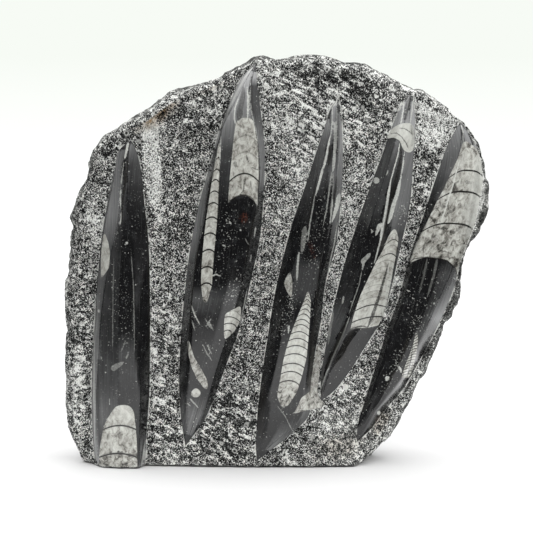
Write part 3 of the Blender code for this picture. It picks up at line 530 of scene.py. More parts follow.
grid = {
    "chiselled": 0.92,     # spacing of the mesh in mm on the chiselled front
    "polished": 1.38,      # on the ridges
    "rim": 1.9,
    "back": 2.7,
    "lines": 1.15,         # along the ridges' and the fossils' lines
    "streaks": 0.95,       # along the streaks
    "outline": 0.2,
    "rowShare": 0.866,     # how far apart staggered rows are, as a share of the spacing
    "edgeRoom": 1.3,       # pixels between a ridge's border and the edge of the front
    "besideBorder": 0.5,   # pixels that stay free of points beside a ridge's borders
    "besideFacet": 1.1,    # and beside its other lines, the shells and the streaks
    "besideShell": 0.7,
    "besideStreak": 0.45,
    "besideLines": 0.62,   # share of a spacing that stays free between the lines and the rest
    "besideRim": 0.6,
    "roundCrest": 2.2,     # a crest rounder than this many pixels has no line of its own
    "lastRow": 468.0,      # the pixel row where the ridges' lines end
}
ridgeForm = {
    "swell": 2.2,       # how soon a ridge rises from its tips to its full height
    "blunt": 0.8,
    "fallAway": 1.3,    # how steeply the stone falls away beyond the ridge at the rim
    "samples": 9,       # across the rounding of its lines
}


def lineAt(points, at):
    # smooth curve through points (value, at), with the slope at a point taken from its neighbours
    values = np.array([p[0] for p in points], float)
    places = np.array([p[1] for p in points], float)
    slopes = np.gradient(values, places)
    at = np.clip(np.asarray(at, float), places[0], places[-1])
    i = np.clip(np.searchsorted(places, at) - 1, 0, len(places) - 2)
    gap = places[i + 1] - places[i]
    u = (at - places[i]) / gap
    first = (1 + 2 * u) * (1 - u) ** 2 * values[i] + u * (1 - u) ** 2 * gap * slopes[i]
    last = u * u * (3 - 2 * u) * values[i + 1] + u * u * (u - 1) * gap * slopes[i + 1]
    return first + last


def toStone(px, py, depth):
    # places x, z that the picture shows at these pixels, at depth y
    across = (px - view["centre"]) / focal
    down = (py - view["centre"]) / focal
    reach = (depth - eye[1]) / (cosine - down * sine)
    return eye[0] + across * reach, eye[2] + (-sine - down * cosine) * reach


def frontDepth(x, z):
    bow = slab["frontBow"] * (x / (slab["width"] / 2)) ** 2
    leanRoom = slab["height"] - slab["leanStart"]
    lean = slab["topLean"] * (np.maximum(0.0, z - slab["leanStart"]) / leanRoom) ** 2
    return -slab["frontReach"] + bow + lean


def backDepth(x, z):
    bow = slab["backBow"] * (x / (slab["width"] / 2)) ** 2
    taper = slab["backTaper"] * (np.maximum(0.0, z) / slab["height"]) ** 1.5
    return slab["backReach"] - bow - taper


def smooth(low, high, value):
    t = np.clip((value - low) / (high - low), 0.0, 1.0)
    return t * t * (3 - 2 * t)


def frontEdgeRight(py):
    # the front's right edge in pixels across, at heights py
    edge = [inner for _, inner in rimPairs if inner[0] > 460 or inner[1] > 200 and inner[0] > 300]
    return lineAt(edge, py)


def ridgeLines(ridge, py):
    # the five lines' pixels across at heights py, and the ridge's share of its full height
    upper, lower = ridge["tips"]
    lines = [lineAt([upper, *ridge[name], lower], py) for name in lineNames]
    t = np.clip((py - upper[1]) / (lower[1] - upper[1]), 0.0, 1.0)
    share = np.maximum(0.0, 1.0 - np.abs(2.0 * t - 1.0) ** ridgeForm["swell"]) ** ridgeForm["blunt"]
    lines = np.maximum.accumulate(np.array(lines), axis=0)
    return np.minimum(lines, frontEdgeRight(py) - grid["edgeRoom"]), share


def profile(px, lines, heights):
    # height across a ridge: straight between its five lines
    result = np.zeros_like(px)
    for k in range(4):
        low, high = lines[k], lines[k + 1]
        u = np.clip((px - low) / np.maximum(high - low, 1e-6), 0.0, 1.0)
        part = heights[k] + (heights[k + 1] - heights[k]) * u
        result = np.where((px >= low) & (px <= high), part, result)
    return result


def relief(px, py):
    # height in mm above the chiselled front at pixels, and which ridge it is (-1 for none)
    height = np.zeros_like(px)
    which = np.full(px.shape, -1)
    for k, ridge in enumerate(ridges):
        (_, top), (_, bottom) = ridge["tips"]
        near = np.nonzero((py > top) & (py < bottom))[0]
        if not len(near):
            continue
        lines, share = ridgeLines(ridge, py[near])
        crest, (fallLeft, fallRight), drop = ridge["height"], ridge["falls"], ridge.get("drop", 0.0)
        heights = [level * share for level in (0.0, crest - fallLeft, crest, crest - fallRight, -drop)]
        x = px[near]
        inside = (x > lines[0]) & (x < lines[4])
        spread = np.clip(np.minimum(x - lines[0], lines[4] - x), 0.0, ridge["round"])
        soft = np.zeros_like(x)
        for step in np.linspace(-1.0, 1.0, ridgeForm["samples"]):
            soft += profile(x + step * spread, lines, heights) / ridgeForm["samples"]
        part = np.where(inside, soft, 0.0)
        if drop:
            slope = ridgeForm["fallAway"] * (x - lines[4]) * mmPerPixel * share
            part = np.where(x >= lines[4], -drop * share - slope, part)
        height[near] += part
        which[near[inside]] = k
    return height, which


def frontPlace(px, py):
    # places x, y, z on the front at pixels
    height, _ = relief(px, py)
    depth = -slab["frontReach"] - height * mm
    for _ in range(4):
        x, z = toStone(px, py, depth)
        depth = frontDepth(x, z) - height * mm
    return np.stack([x, depth, z], axis=-1)


def pickAt(curve, along, at):
    return np.stack([np.interp(at, along, curve[:, k]) for k in (0, 1)], axis=1)


def resample(points, spacing):
    # a line of pixels at an even spacing in mm
    points = np.asarray(points, float)
    along = np.concatenate([[0.0], np.cumsum(np.hypot(*np.diff(points, axis=0).T))]) * mmPerPixel
    count = max(2, int(round(along[-1] / spacing)) + 1)
    return pickAt(points, along, np.linspace(0.0, along[-1], count))


def rimCurve(side):
    # the outline (0) or the front's edge (1), from the foot's left end round to its right end
    points = np.array([pair[side] for pair in rimPairs], float)
    fine = np.linspace(0, len(points) - 1, 40 * (len(points) - 1) + 1)
    curve = np.stack([lineAt(list(zip(points[:, k], range(len(points)))), fine) for k in (0, 1)], axis=1)
    if side == 0:
        detail = resample(outlineDetail, grid["outline"])
        curve = detail[[np.hypot(*(detail - place).T).argmin() for place in curve]]
    return curve


def evenly(outer, inner, spacing):
    # both curves at the same steps, which lie about a spacing apart halfway between them
    lengths = np.hypot(*np.diff((outer + inner) / 2, axis=0).T) * mmPerPixel
    along = np.concatenate([[0.0], np.cumsum(lengths)])
    at = np.linspace(0.0, along[-1], int(round(along[-1] / spacing)) + 1)
    return [pickAt(curve, along, at) for curve in (outer, inner)]


def insidePolygon(px, py, polygon):
    inside = np.zeros(px.shape, bool)
    for (x0, y0), (x1, y1) in zip(polygon, np.roll(polygon, -1, axis=0)):
        crosses = (y0 > py) != (y1 > py)
        with np.errstate(divide="ignore", invalid="ignore"):
            inside ^= crosses & (px < (x1 - x0) * (py - y0) / (y1 - y0) + x0)
    return inside


def makeTree(points):
    tree = kdtree.KDTree(len(points))
    for i, (a, b) in enumerate(points):
        tree.insert((a, b, 0.0), i)
    tree.balance()
    return tree


def distances(tree, px, py):
    return np.array([tree.find((a, b, 0.0))[2] for a, b in zip(px, py)])


def eased(ring):
    return (np.roll(ring, 1, axis=0) + 2 * ring + np.roll(ring, -1, axis=0)) / 4


def softOutline(points):
    # a closed outline in pixels, with its corners eased
    return eased(eased(resample(points + points[:1], grid["lines"])[:-1]))


def shellOutline(fossil):
    return softOutline(fossil["left"] + fossil["right"][::-1])


def hexCells(left, right, low, high, step):
    # places in staggered rows, a step apart
    cells = []
    for r, row in enumerate(np.arange(low, high, step * grid["rowShare"])):
        across = np.arange(left + (r % 2) * step / 2, right, step)
        cells.append(np.stack([across, np.full(across.shape, row)], axis=1))
    return np.vstack(cells)


def fillOutline(points, edges, outline):
    # triangles between points, along edges and inside an outline, and which points each new one comes from
    result = delaunay_2d_cdt([Vector(p) for p in points], edges, [], 1, 1e-4, True)
    flat = np.array([tuple(v) for v in result[0]])
    corners = np.array(result[2])[:, ::-1]
    middles = flat[corners].mean(axis=1)
    return flat, corners[insidePolygon(*middles.T, outline)], result[3]


footEdge = {"start": 466.0, "rounds": 12, "worn": 1.4, "uneven": 0.9, "waves": 0.13}    # pixels, mm


def footLine(across):
    # the pixel rows of the lower front edge, which is worn to a little above the foot
    down = np.full(across.shape, footEdge["start"])
    waves = [noise.noise(Vector((a * footEdge["waves"], 0.0, 0.0))) for a in across]
    worn = footEdge["worn"] + footEdge["uneven"] * np.array(waves)
    for _ in range(footEdge["rounds"]):
        height, _ = relief(across, down)
        x, z = toStone(across, down, -slab["frontReach"])
        x, z = toStone(across, down, frontDepth(x, z) - height * mm)
        down = down + (z - worn * mm) / (mmPerPixel * mm)
    return down


def frontMesh():
    # triangles of the front in the picture's plane, finer where it is chiselled
    outer, inner = evenly(rimCurve(0), rimCurve(1), grid["rim"])
    footCount = int((inner[-1, 0] - inner[0, 0]) * mmPerPixel / grid["rim"])
    footX = np.linspace(inner[-1, 0], inner[0, 0], footCount + 1)[1:-1]
    inner[[0, -1], 1] = footLine(inner[[0, -1], 0])
    inner = np.vstack([inner, np.stack([footX, footLine(footX)], axis=1)])
    outer = np.vstack([outer, np.full((len(footX), 2), np.nan)])    # the foot has no outline of its own
    points = [tuple(p) for p in inner]
    edges = [(i, (i + 1) % len(inner)) for i in range(len(inner))]

    def addLine(line, clear):
        # adds a line as edges, leaving out its points outside the front or close to earlier ones
        usable = insidePolygon(*line.T, inner)
        usable &= distances(makeTree(points), *line.T) > clear
        for k, place in enumerate(line):
            if usable[k]:
                points.append(tuple(place))
                if k and usable[k - 1]:
                    edges.append((len(points) - 2, len(points) - 1))

    for ridge in ridges:
        (_, top), (_, bottom) = ridge["tips"]
        rows = np.linspace(top, min(bottom, grid["lastRow"]), 400)
        lines, _ = ridgeLines(ridge, rows)
        for k in (0, 4, 1, 3, 2):
            if k == 2 and ridge["round"] > grid["roundCrest"]:
                continue
            line = resample(np.stack([lines[k], rows], axis=1), grid["lines"])
            addLine(line, grid["besideBorder" if k in (0, 4) else "besideFacet"])
    for fossil in fossils:
        addLine(shellOutline(fossil), grid["besideShell"])
    for path, *_ in paleStreaksAndGlints + darkStreaks:
        line = resample(path, grid["streaks"]) if len(path) > 1 else np.array(path, float)
        addLine(line, grid["besideStreak"])

    tree = makeTree(points)
    for spacing, polished in ((grid["chiselled"], False), (grid["polished"], True)):
        cells = hexCells(60.0, 492.0, 50.0, 472.0, spacing / mmPerPixel)
        cells = cells[(relief(*cells.T)[1] >= 0) == polished]
        cells = cells[insidePolygon(*cells.T, inner)]
        cells = cells[distances(tree, *cells.T) > grid["besideLines"] * spacing / mmPerPixel]
        points.extend(tuple(c) for c in cells)
    flat, corners, origins = fillOutline(points, edges, inner)
    newIndex = {old: new for new, olds in enumerate(origins) for old in olds}
    ring = np.array([newIndex[i] for i in range(len(inner))])
    say(f"front: {len(flat)} points, {len(corners)} triangles")
    return flat, corners, ring, outer, len(footX)


def breakOff(places):
    centre = np.array(slab["breakCentre"])
    for direction, distance in slab["breaks"]:
        outward = np.array(direction) / np.linalg.norm(direction)
        past = (places - centre) @ outward - distance
        places = places - np.outer(np.maximum(0.0, past) * slab["breakShare"], outward)
    return places


# Room on the bake's sheet: the lower left corner and the size of each patch.
uvRoom = {
    "front": (np.array((0.0, 0.32)), 0.68),
    "rim": (np.array((0.0, 0.0)), np.array((0.68, 0.31))),
    "back": (np.array((0.69, 0.69)), 0.31),
}


def uvPatch(flatCorners, room):
    # a flat sheet of triangles, scaled to fit its room
    lowest = flatCorners.reshape(-1, 2).min(axis=0)
    size = (flatCorners.reshape(-1, 2).max(axis=0) - lowest).max()
    return (flatCorners - lowest) / size * room[1] + room[0]


rim = {
    "outlineAt": 0.45,       # where the outline lies between front and back
    "inset": 12.0,           # mm from the outline in to the back's edge
    "insetEase": 14.0,       # points beside the foot over which it grows
    "easing": 30,            # rounds that smooth the back's edge
    "lift": 1.0,             # mm from the foot up to the back's edge
    "rings": (9, 12),        # in front of the outline and behind it
    "onFloor": (range(3, 10), range(1, 11)),    # those whose foot stands on the floor
    "strips": 3,             # pieces that the rim is laid out in on the bake's sheet
    "stripHeight": 0.95,     # as a share of the room of each
}


def buildStone():
    # the closed mesh of the front, the rim's rings and the back, with its layout on the bake's sheet
    flat, corners, ring, outer, footCount = frontMesh()
    front = frontPlace(*flat.T)
    frontRim = front[ring]
    count = len(ring)
    along = np.arange(count)
    isFoot = along >= count - footCount

    # the outline, then the back's edge
    middle = np.zeros((count, 3))
    backY = backDepth(frontRim[:, 0], frontRim[:, 2])
    middle[:, 1] = frontRim[:, 1] + (backY - frontRim[:, 1]) * rim["outlineAt"]
    middle[:, 0], middle[:, 2] = toStone(*outer.T, middle[:, 1])
    middle[isFoot, 0] = frontRim[isFoot, 0]
    middle[isFoot, 2] = 0.0
    middle[[0, count - footCount - 1], 2] = 0.0
    ahead = np.roll(middle, -1, axis=0) - np.roll(middle, 1, axis=0)
    inward = np.stack([ahead[:, 2], np.zeros(count), -ahead[:, 0]], axis=1)
    inward /= np.linalg.norm(inward, axis=1)[:, None]
    fromFoot = np.minimum(along + 1, count - footCount - along).astype(float)
    inset = np.where(isFoot, 0.0, smooth(0.0, rim["insetEase"], fromFoot)) * rim["inset"] * mm
    back = middle + inward * inset[:, None]
    for _ in range(rim["easing"]):
        back = np.where(isFoot[:, None], back, eased(back))
    back[:, 2] = np.where(isFoot, rim["lift"] * mm, np.maximum(back[:, 2], rim["lift"] * mm))
    back[:, 1] = backDepth(back[:, 0], back[:, 2])

    # the rings turn from the front's direction to the side, then from the side to the back's
    rings = []
    for half, (start, end) in enumerate(((frontRim, middle), (middle, back))):
        for step in range(1, rim["rings"][half] + 1):
            turn = math.pi / 2 * step / rim["rings"][half]
            shares = (math.sin(turn), 1 - math.cos(turn))
            part = start + (end - start) * shares[half]
            part[:, 1] = start[:, 1] + (end[:, 1] - start[:, 1]) * shares[1 - half]
            if step in rim["onFloor"][half]:
                part[isFoot, 2] = 0.0
            rings.append(part)
    triangles = [corners]
    sheets = [uvPatch(flat[corners] * (1, -1), uvRoom["front"])]
    perStrip = -(-count // rim["strips"])
    left = along % perStrip / perStrip
    right = left + 1 / perStrip
    previous = ring
    for k in range(len(rings)):
        here = len(flat) + k * count + along
        a, b, c, d = previous, np.roll(previous, -1), np.roll(here, -1), here
        low, high = [along // perStrip + rim["stripHeight"] * step / len(rings) for step in (k, k + 1)]
        for corner, us, vs in (((a, c, d), (left, right, left), (low, high, high)),
                               ((a, b, c), (left, right, right), (low, low, high))):
            triangles.append(np.stack(corner, axis=1))
            sheet = np.stack([np.stack(us, axis=1), np.stack(vs, axis=1) / rim["strips"]], axis=2)
            sheets.append(sheet * uvRoom["rim"][1] + uvRoom["rim"][0])
        previous = here

    # the back, filled in x and z
    places = np.vstack([front, *rings])
    rimXZ = places[previous][:, [0, 2]] / mm
    cells = hexCells(-160.0, 160.0, 0.0, 300.0, grid["back"])
    cells = cells[insidePolygon(*cells.T, rimXZ)]
    cells = cells[distances(makeTree(rimXZ), *cells.T) > grid["besideRim"] * grid["back"]]
    edges = [(i, (i + 1) % count) for i in range(count)]
    flatBack, corners, origins = fillOutline(np.vstack([rimXZ, cells]), edges, rimXZ)
    index, extra = [], []
    for (x, z), olds in zip(flatBack, origins):
        if olds and olds[0] < count:
            index.append(previous[olds[0]])
        else:
            index.append(len(places) + len(extra))
            extra.append((x * mm, 0.0, z * mm))
    extra = np.array(extra)
    extra[:, 1] = backDepth(extra[:, 0], extra[:, 2])
    places = np.vstack([places, extra])
    triangles.append(np.array(index)[corners])
    sheets.append(uvPatch(places[triangles[-1]][:, :, [0, 2]] * (-1, 1), uvRoom["back"]))
    say(f"rim: {len(rings)} rings of {count}, back: {len(corners)} triangles")
    places[len(flat):] = breakOff(places[len(flat):])
    return places, flat, np.vstack(triangles), np.vstack(sheets).reshape(-1, 2)


def pathGap(px, py, path, reach=9.0):
    # distance in mm from pixels to a path, and how far along it its nearest place is
    path = np.asarray(path, float)
    low, high = path.min(axis=0) - reach, path.max(axis=0) + reach
    near = (px > low[0]) & (px < high[0]) & (py > low[1]) & (py < high[1])
    x, y = px[near], py[near]
    best, along = np.full(px.shape, 1e3), np.zeros_like(px)
    if len(path) == 1:
        best[near] = np.hypot(x - path[0, 0], y - path[0, 1])
        return best * mmPerPixel, along
    lengths = np.hypot(*np.diff(path, axis=0).T)
    before = np.concatenate([[0.0], np.cumsum(lengths)])
    nearest, share = np.full(x.shape, 1e3), np.zeros_like(x)
    for (x0, y0), (x1, y1), start, length in zip(path, path[1:], before, lengths):
        u = np.clip(((x - x0) * (x1 - x0) + (y - y0) * (y1 - y0)) / length ** 2, 0.0, 1.0)
        gap = np.hypot(x - x0 - u * (x1 - x0), y - y0 - u * (y1 - y0))
        nearer = gap < nearest
        nearest = np.where(nearer, gap, nearest)
        share = np.where(nearer, (start + u * length) / before[-1], share)
    best[near], along[near] = nearest, share
    return best * mmPerPixel, along


def depthInside(px, py, outline, reach):
    # distance in mm to an outline, below 0 outside it
    gap, _ = pathGap(px, py, np.vstack([outline, outline[:1]]), reach)
    return np.where(insidePolygon(px, py, outline), gap, -gap)


def downwards(points):
    # the points of a side that lie lower than all before them
    kept = [points[0]]
    for point in points[1:]:
        if point[1] > kept[-1][1]:
            kept.append(point)
    return kept


# What the stone has where nothing is painted. Depths and sizes are in mm; what isn't named is 0.
unpainted = {
    "calcite": -4.0, "chamber": 0.5, "chamberSize": 10.0, "shellTone": 0.8, "paleStreakAndGlint": -3.0,
    "darkStreak": -3.0, "hazeAndReflection": -3.0, "borderGap": 50.0, "stroke": 0.5,
}


brush = {
    "leastDepth": -3.0,    # mm beyond which a shell's border is no longer looked for
    "reach": 1.3,          # how far past its sides a shell's walls are drawn on, in half widths
    "fineWall": 0.30,      # how dark the walls are that aren't bold
    "ends": 5.0,           # how soon a streak runs out to a point: at full width after a fifth
    "patch": (1.6, 0.3),   # where a patch ends and where it is full, in its half sizes
    "ghost": 1.6,
    "ghostEdge": (-0.4, 1.0),    # mm
    "besideRidge": 3,      # pixels
    "ridgeApart": 40.0,    # how far the noise differs from ridge to ridge, in mm
    "steep": (100.0, 0.42),    # the strokes run steeper left of this pixel, by this angle
}


def paintShells(px, py, made):
    # how deep inside a shell, how pale it is there, which chamber it is and how dark its walls are
    for name in ("calcite", "chamber", "chamberSize", "shellTone"):
        made[name] = np.full(px.shape, unpainted[name])
    made["wallTone"] = np.ones_like(px)
    for fossil in fossils:
        depth = depthInside(px, py, shellOutline(fossil), 8.0)
        mine = depth > np.maximum(made["calcite"], brush["leastDepth"])
        y = py[mine]
        made["calcite"][mine] = depth[mine]
        made["shellTone"][mine] = fossil["tone"]
        if "lowest" in fossil:
            start, stop, tone = fossil["lowest"]
            made["shellTone"][mine] += (tone - fossil["tone"]) * smooth(start, stop, y)
        if "walls" not in fossil:
            for name in ("chamber", "chamberSize"):
                made[name][mine] = unpainted[name]
            continue
        left, right = (lineAt(downwards(fossil[side]), y) for side in ("left", "right"))
        across = (2 * px[mine] - left - right) / np.maximum(right - left, 2.0)
        across = np.clip(across, -brush["reach"], brush["reach"])
        level = y - fossil["sag"] * np.abs(across) ** fossil.get("power", 2) - fossil["skew"] * across
        walls = np.array(fossil["walls"], float)
        gaps = np.diff(walls)
        phase = np.interp(level, walls, np.arange(len(walls)))
        phase += ((level - walls[-1]) / gaps[-1]).clip(0.0, 0.5)
        phase -= ((walls[0] - level) / gaps[0]).clip(0.0, 0.5)
        made["chamber"][mine] = phase
        made["chamberSize"][mine] = np.interp(level, (walls[1:] + walls[:-1]) / 2, gaps) * mmPerPixel
        bold = fossil.get("bold", range(len(walls)))
        tones = [1.0 if k in bold else brush["fineWall"] for k in range(len(walls))]
        made["wallTone"][mine] = np.interp(level, walls, tones)


def paintStreaks(px, py, streaks, name, made):
    # how deep inside a streak, in mm, and how strongly it shows
    made[name] = np.full(px.shape, unpainted[name])
    made[name + "Tone"] = np.zeros_like(px)
    for path, *widths, strength in streaks:
        gap, along = pathGap(px, py, path)
        width = widths[0] + (widths[-1] - widths[0]) * along
        if len(path) > 1:
            width = width * np.sqrt(np.minimum(1.0, brush["ends"] * np.minimum(along, 1.0 - along)))
        depth = width / 2 * mmPerPixel - gap
        mine = depth > made[name]
        made[name][mine] = depth[mine]
        made[name + "Tone"][mine] = strength


def paintPatches(px, py, patches):
    amount = np.zeros_like(px)
    for (x, y), halfAcross, halfDown, turn, strength in patches:
        turnX, turnY = math.cos(math.radians(turn)), math.sin(math.radians(turn))
        along = ((px - x) * turnX + (py - y) * turnY) / halfAcross
        down = ((py - y) * turnX - (px - x) * turnY) / halfDown
        amount += strength * smooth(*brush["patch"], np.hypot(along, down))
    return amount


def paintGhosts(px, py):
    # how pale the rough stone is over a buried shell
    amount = np.zeros_like(px)
    for outline, strength in ghosts:
        depth = depthInside(px, py, softOutline(outline), 40.0)
        amount = np.maximum(amount, strength * smooth(*brush["ghostEdge"], depth))
    return amount


def borderGap(px, py):
    # distance in mm to the nearest border of a ridge
    borders = []
    for ridge in ridges:
        (_, top), (_, bottom) = ridge["tips"]
        rows = np.linspace(top, min(bottom, 475.0), 1200)
        lines, _ = ridgeLines(ridge, rows)
        borders += [np.stack([lines[k], rows], axis=1) for k in (0, 4)]
    return distances(makeTree(np.vstack(borders)), px, py) * mmPerPixel


def paintRidges(px, py, made):
    # where along and across a ridge, in mm, how deep inside a grey facet, and how grey it is painted there:
    # a dull haze of the polish and painted reflection
    made["ridgeAcross"] = px * mmPerPixel
    made["ridgeAlong"] = py * mmPerPixel
    made["hazeAndReflection"] = np.full(px.shape, unpainted["hazeAndReflection"])
    made["hazeAndReflectionTone"] = np.zeros_like(px)
    for number, ridge in enumerate(ridges):
        (_, top), (_, bottom) = ridge["tips"]
        near = np.nonzero((py > top) & (py < bottom))[0]
        lines, _ = ridgeLines(ridge, py[near])
        within = (px[near] > lines[0] - brush["besideRidge"]) & (px[near] < lines[4] + brush["besideRidge"])
        near, lines = near[within], lines[:, within]
        x, y = px[near], py[near]
        made["ridgeAcross"][near] = (x - lines[2]) * mmPerPixel + brush["ridgeApart"] * (number + 1)
        for facet, first, last, stops in hazeAndReflectionFacets:
            if facet != number:
                continue
            low, high = (lines[lineNames.index(name)] for name in (first, last))
            depth = np.minimum(x - low, high - x) * mmPerPixel
            share = np.clip((x - low) / np.maximum(high - low, 0.5), 0.0, 1.0)
            rows, atLow, atHigh = np.array([(row, tones[0], tones[-1]) for row, *tones in stops], float).T
            strength = np.interp(y, rows, atLow) * (1 - share) + np.interp(y, rows, atHigh) * share
            strength = np.where(y < rows[0], 0.0, strength)
            mine = depth > made["hazeAndReflection"][near]
            made["hazeAndReflection"][near[mine]] = depth[mine]
            made["hazeAndReflectionTone"][near[mine]] = strength[mine]


def paintFront(px, py):
    # what the front shows at pixels, by the name of its attribute
    made = {"borderGap": borderGap(px, py)}
    paintShells(px, py, made)
    made["shellTone"] += paintPatches(px, py, shellPatches)
    paintStreaks(px, py, paleStreaksAndGlints, "paleStreakAndGlint", made)
    paintStreaks(px, py, darkStreaks, "darkStreak", made)
    made["brown"] = paintPatches(px, py, brownPatches)
    # paler stone over buried shells and in patches, with painted shade along the top edge and painted light
    # on the right rim
    made["pale"] = paintPatches(px, py, palePatchesAndPaintedLight) + brush["ghost"] * paintGhosts(px, py)
    made["calm"] = np.minimum(paintPatches(px, py, calmPatches), 1.0)
    made["fleck"] = paintPatches(px, py, flecks)
    made["stroke"] = np.minimum(paintPatches(px, py, strokePatches), 1.0)
    made["turn"] = np.where(px < brush["steep"][0], brush["steep"][1], 0.0)
    paintRidges(px, py, made)
    return made


def onPolish(px, py):
    # whether a place is ground smooth: on a ridge, or on a shell that was smoothed beyond it
    shiny = relief(px, py)[1] >= 0
    for fossil in fossils:
        if fossil.get("smooth"):
            shiny |= insidePolygon(px, py, shellOutline(fossil))
    return shiny


def lumpHeight(place, shareBack):
    # the broad lumps of the solid, in metres
    broad = noise.noise(place / slab["lumpSize"] + Vector((3.1, 7.7, 1.9)))
    fine = noise.noise(place / slab["knobSize"] + Vector((11.3, 2.6, 5.2)))
    large = min(1.0, max(0.0, shareBack * 2 - 1))
    return 2 * (broad * (slab["lumpFront"] + (slab["lumpBack"] - slab["lumpFront"]) * large)
                + fine * (slab["knobFront"] + (slab["knobBack"] - slab["knobFront"]) * large))


def toLinear(code):
    # an sRGB hex value as a linear colour
    channels = [int(code[i:i + 2], 16) / 255 for i in (1, 3, 5)]
    return (*[c / 12.92 if c < 0.04045 else ((c + 0.055) / 1.055) ** 2.4 for c in channels], 1.0)


softEnds = {"interpolation_type": "SMOOTHSTEP"}    # for a MapRange that eases in and out


def addNode(tree, kind, links=(), out=0, stops=None, **settings):
    # adds a node, whose kind can leave out "ShaderNode", with its settings and the values or links of
    # its inputs, by name or in their order: for MapRange the value, its lowest and highest, and what
    # those become. Gives back one of its outputs, or the node itself where out is None.
    node = tree.nodes.new(kind if kind.startswith(("GeometryNode", "NodeGroup")) else "ShaderNode" + kind)
    for name, value in settings.items():
        setattr(node, name, value)
    if stops:
        elements = node.color_ramp.elements
        elements.remove(elements[1])
        elements[0].position, elements[0].color = stops[0][0], toLinear(stops[0][1])
        for position, code in stops[1:]:
            elements.new(position).color = toLinear(code)
    for name, source in (links if isinstance(links, dict) else dict(enumerate(links))).items():
        if isinstance(source, bpy.types.NodeSocket):
            tree.links.new(source, node.inputs[name])
        else:
            node.inputs[name].default_value = source
    return node if out is None else node.outputs[out]


def startTree(data):
    # an empty tree of a material or the world, as what adds a node to it
    data.use_nodes = True
    data.node_tree.nodes.clear()
    return partial(addNode, data.node_tree)


# The rough surface, in metres: pecked with a pointed tool in front, broken behind.
roughness = {
    "Peck spacing": 0.0038,
    "Peck depth": 0.00045,
    "Grain size": 0.0021,
    "Grain height": 0.00060,
    "Dent size": 0.0075,
    "Dent depth": 0.00040,
    "Stroke turn": -0.52,
    "Stroke length": 4.2,
    "Break size": 0.0090,
    "Break height": 0.0010,
    "Chip height": 0.0006,
    "Seed": 3.0,
}


def roughnessTree(polishedPart, peckedPart, sawnPart):
    tree = bpy.data.node_groups.new("stoneRoughness", "GeometryNodeTree")
    add = partial(addNode, tree)
    tree.interface.new_socket("Geometry", in_out="INPUT", socket_type="NodeSocketGeometry")
    for name in roughness:
        tree.interface.new_socket(name, in_out="INPUT", socket_type="NodeSocketFloat")
    tree.interface.new_socket("Geometry", in_out="OUTPUT", socket_type="NodeSocketGeometry")
    sizes = add("NodeGroupInput", out=None).outputs
    kinds = {"turn": "FLOAT", "stroke": "FLOAT", "pecked": "FLOAT", "broken": "FLOAT",
            "isPolished": "BOOLEAN", "isSawn": "BOOLEAN"}
    stored = {name: add("GeometryNodeInputNamedAttribute", {"Name": name}, data_type=kind)
              for name, kind in kinds.items()}
    scaleNames = ("Stroke length", "Peck spacing", "Grain size", "Dent size", "Break size")
    scales = {name: add("Math", (1.0, sizes[name]), operation="DIVIDE") for name in scaleNames}

    # places, and places drawn out along the strokes
    place = add("GeometryNodeInputPosition")
    angle = add("Math", (sizes["Stroke turn"], stored["turn"]), operation="ADD")
    turned = add("VectorRotate", {"Vector": place, "Angle": angle}, rotation_type="Y_AXIS")
    shorter = add("CombineXYZ", {"X": scales["Stroke length"], "Y": 1.0, "Z": 1.0})
    drawn = add("VectorMath", (turned, shorter), operation="MULTIPLY")

    # pecks are pits that overlap, with grains left standing between them; breaks are flat-topped scales
    pits = add("TexVoronoi", {"Vector": place, "W": sizes["Seed"], "Scale": scales["Peck spacing"],
            "Smoothness": 0.35}, voronoi_dimensions="4D", feature="SMOOTH_F1")
    upright, dragged, dents, breaks = [
        add("TexNoise", {"Vector": vector, "W": sizes["Seed"], "Scale": scales[size], "Detail": detail,
                         "Roughness": rough}, noise_dimensions="4D")
        for vector, size, detail, rough in (
            (place, "Grain size", 2.0, 0.5), (drawn, "Grain size", 2.0, 0.5),
            (place, "Dent size", 1.0, 0.5), (place, "Break size", 4.0, 0.6))]
    grains = add("Mix", {0: stored["stroke"], 2: upright, 3: dragged})
    ranges = ((pits, 0.1, 0.75), (grains, 0.25, 0.75), (dents, 0.3, 0.7), (breaks, 0.32, 0.62))
    bowls, grains, dents, breaks = [add("MapRange", (value, low, high, -1.0, 1.0))
                                    for value, low, high in ranges]
    peckHeight = breakHeight = height = 0.0
    for part, size in ((dents, "Dent depth"), (bowls, "Peck depth"), (grains, "Grain height")):
        peckHeight = add("Math", (part, sizes[size], peckHeight), operation="MULTIPLY_ADD")
    for part, size in ((grains, "Chip height"), (breaks, "Break height")):
        breakHeight = add("Math", (part, sizes[size], breakHeight), operation="MULTIPLY_ADD")
    for part, share in ((peckHeight, "pecked"), (breakHeight, "broken")):
        height = add("Math", (part, stored[share], height), operation="MULTIPLY_ADD")

    offset = add("VectorMath", {0: add("GeometryNodeInputNormal"), "Scale": height}, operation="SCALE")
    shape = add("GeometryNodeSetPosition", {"Geometry": sizes["Geometry"], "Offset": offset})
    total = add("Math", (sizes["Peck depth"], sizes["Grain height"]), operation="ADD")
    raised = add("Math", (peckHeight, total), operation="DIVIDE")
    shape = add("GeometryNodeStoreNamedAttribute", {"Geometry": shape, "Name": "raised", "Value": raised},
            data_type="FLOAT", domain="POINT")
    shape = add("GeometryNodeRealizeInstances", {"Geometry": shape})
    for chosen, material in ((True, peckedPart), (stored["isPolished"], polishedPart),
                             (stored["isSawn"], sawnPart)):
        shape = add("GeometryNodeSetMaterial", {"Geometry": shape, "Selection": chosen,
                "Material": material})
    add("NodeGroupOutput", {"Geometry": shape}, out=None)
    return tree


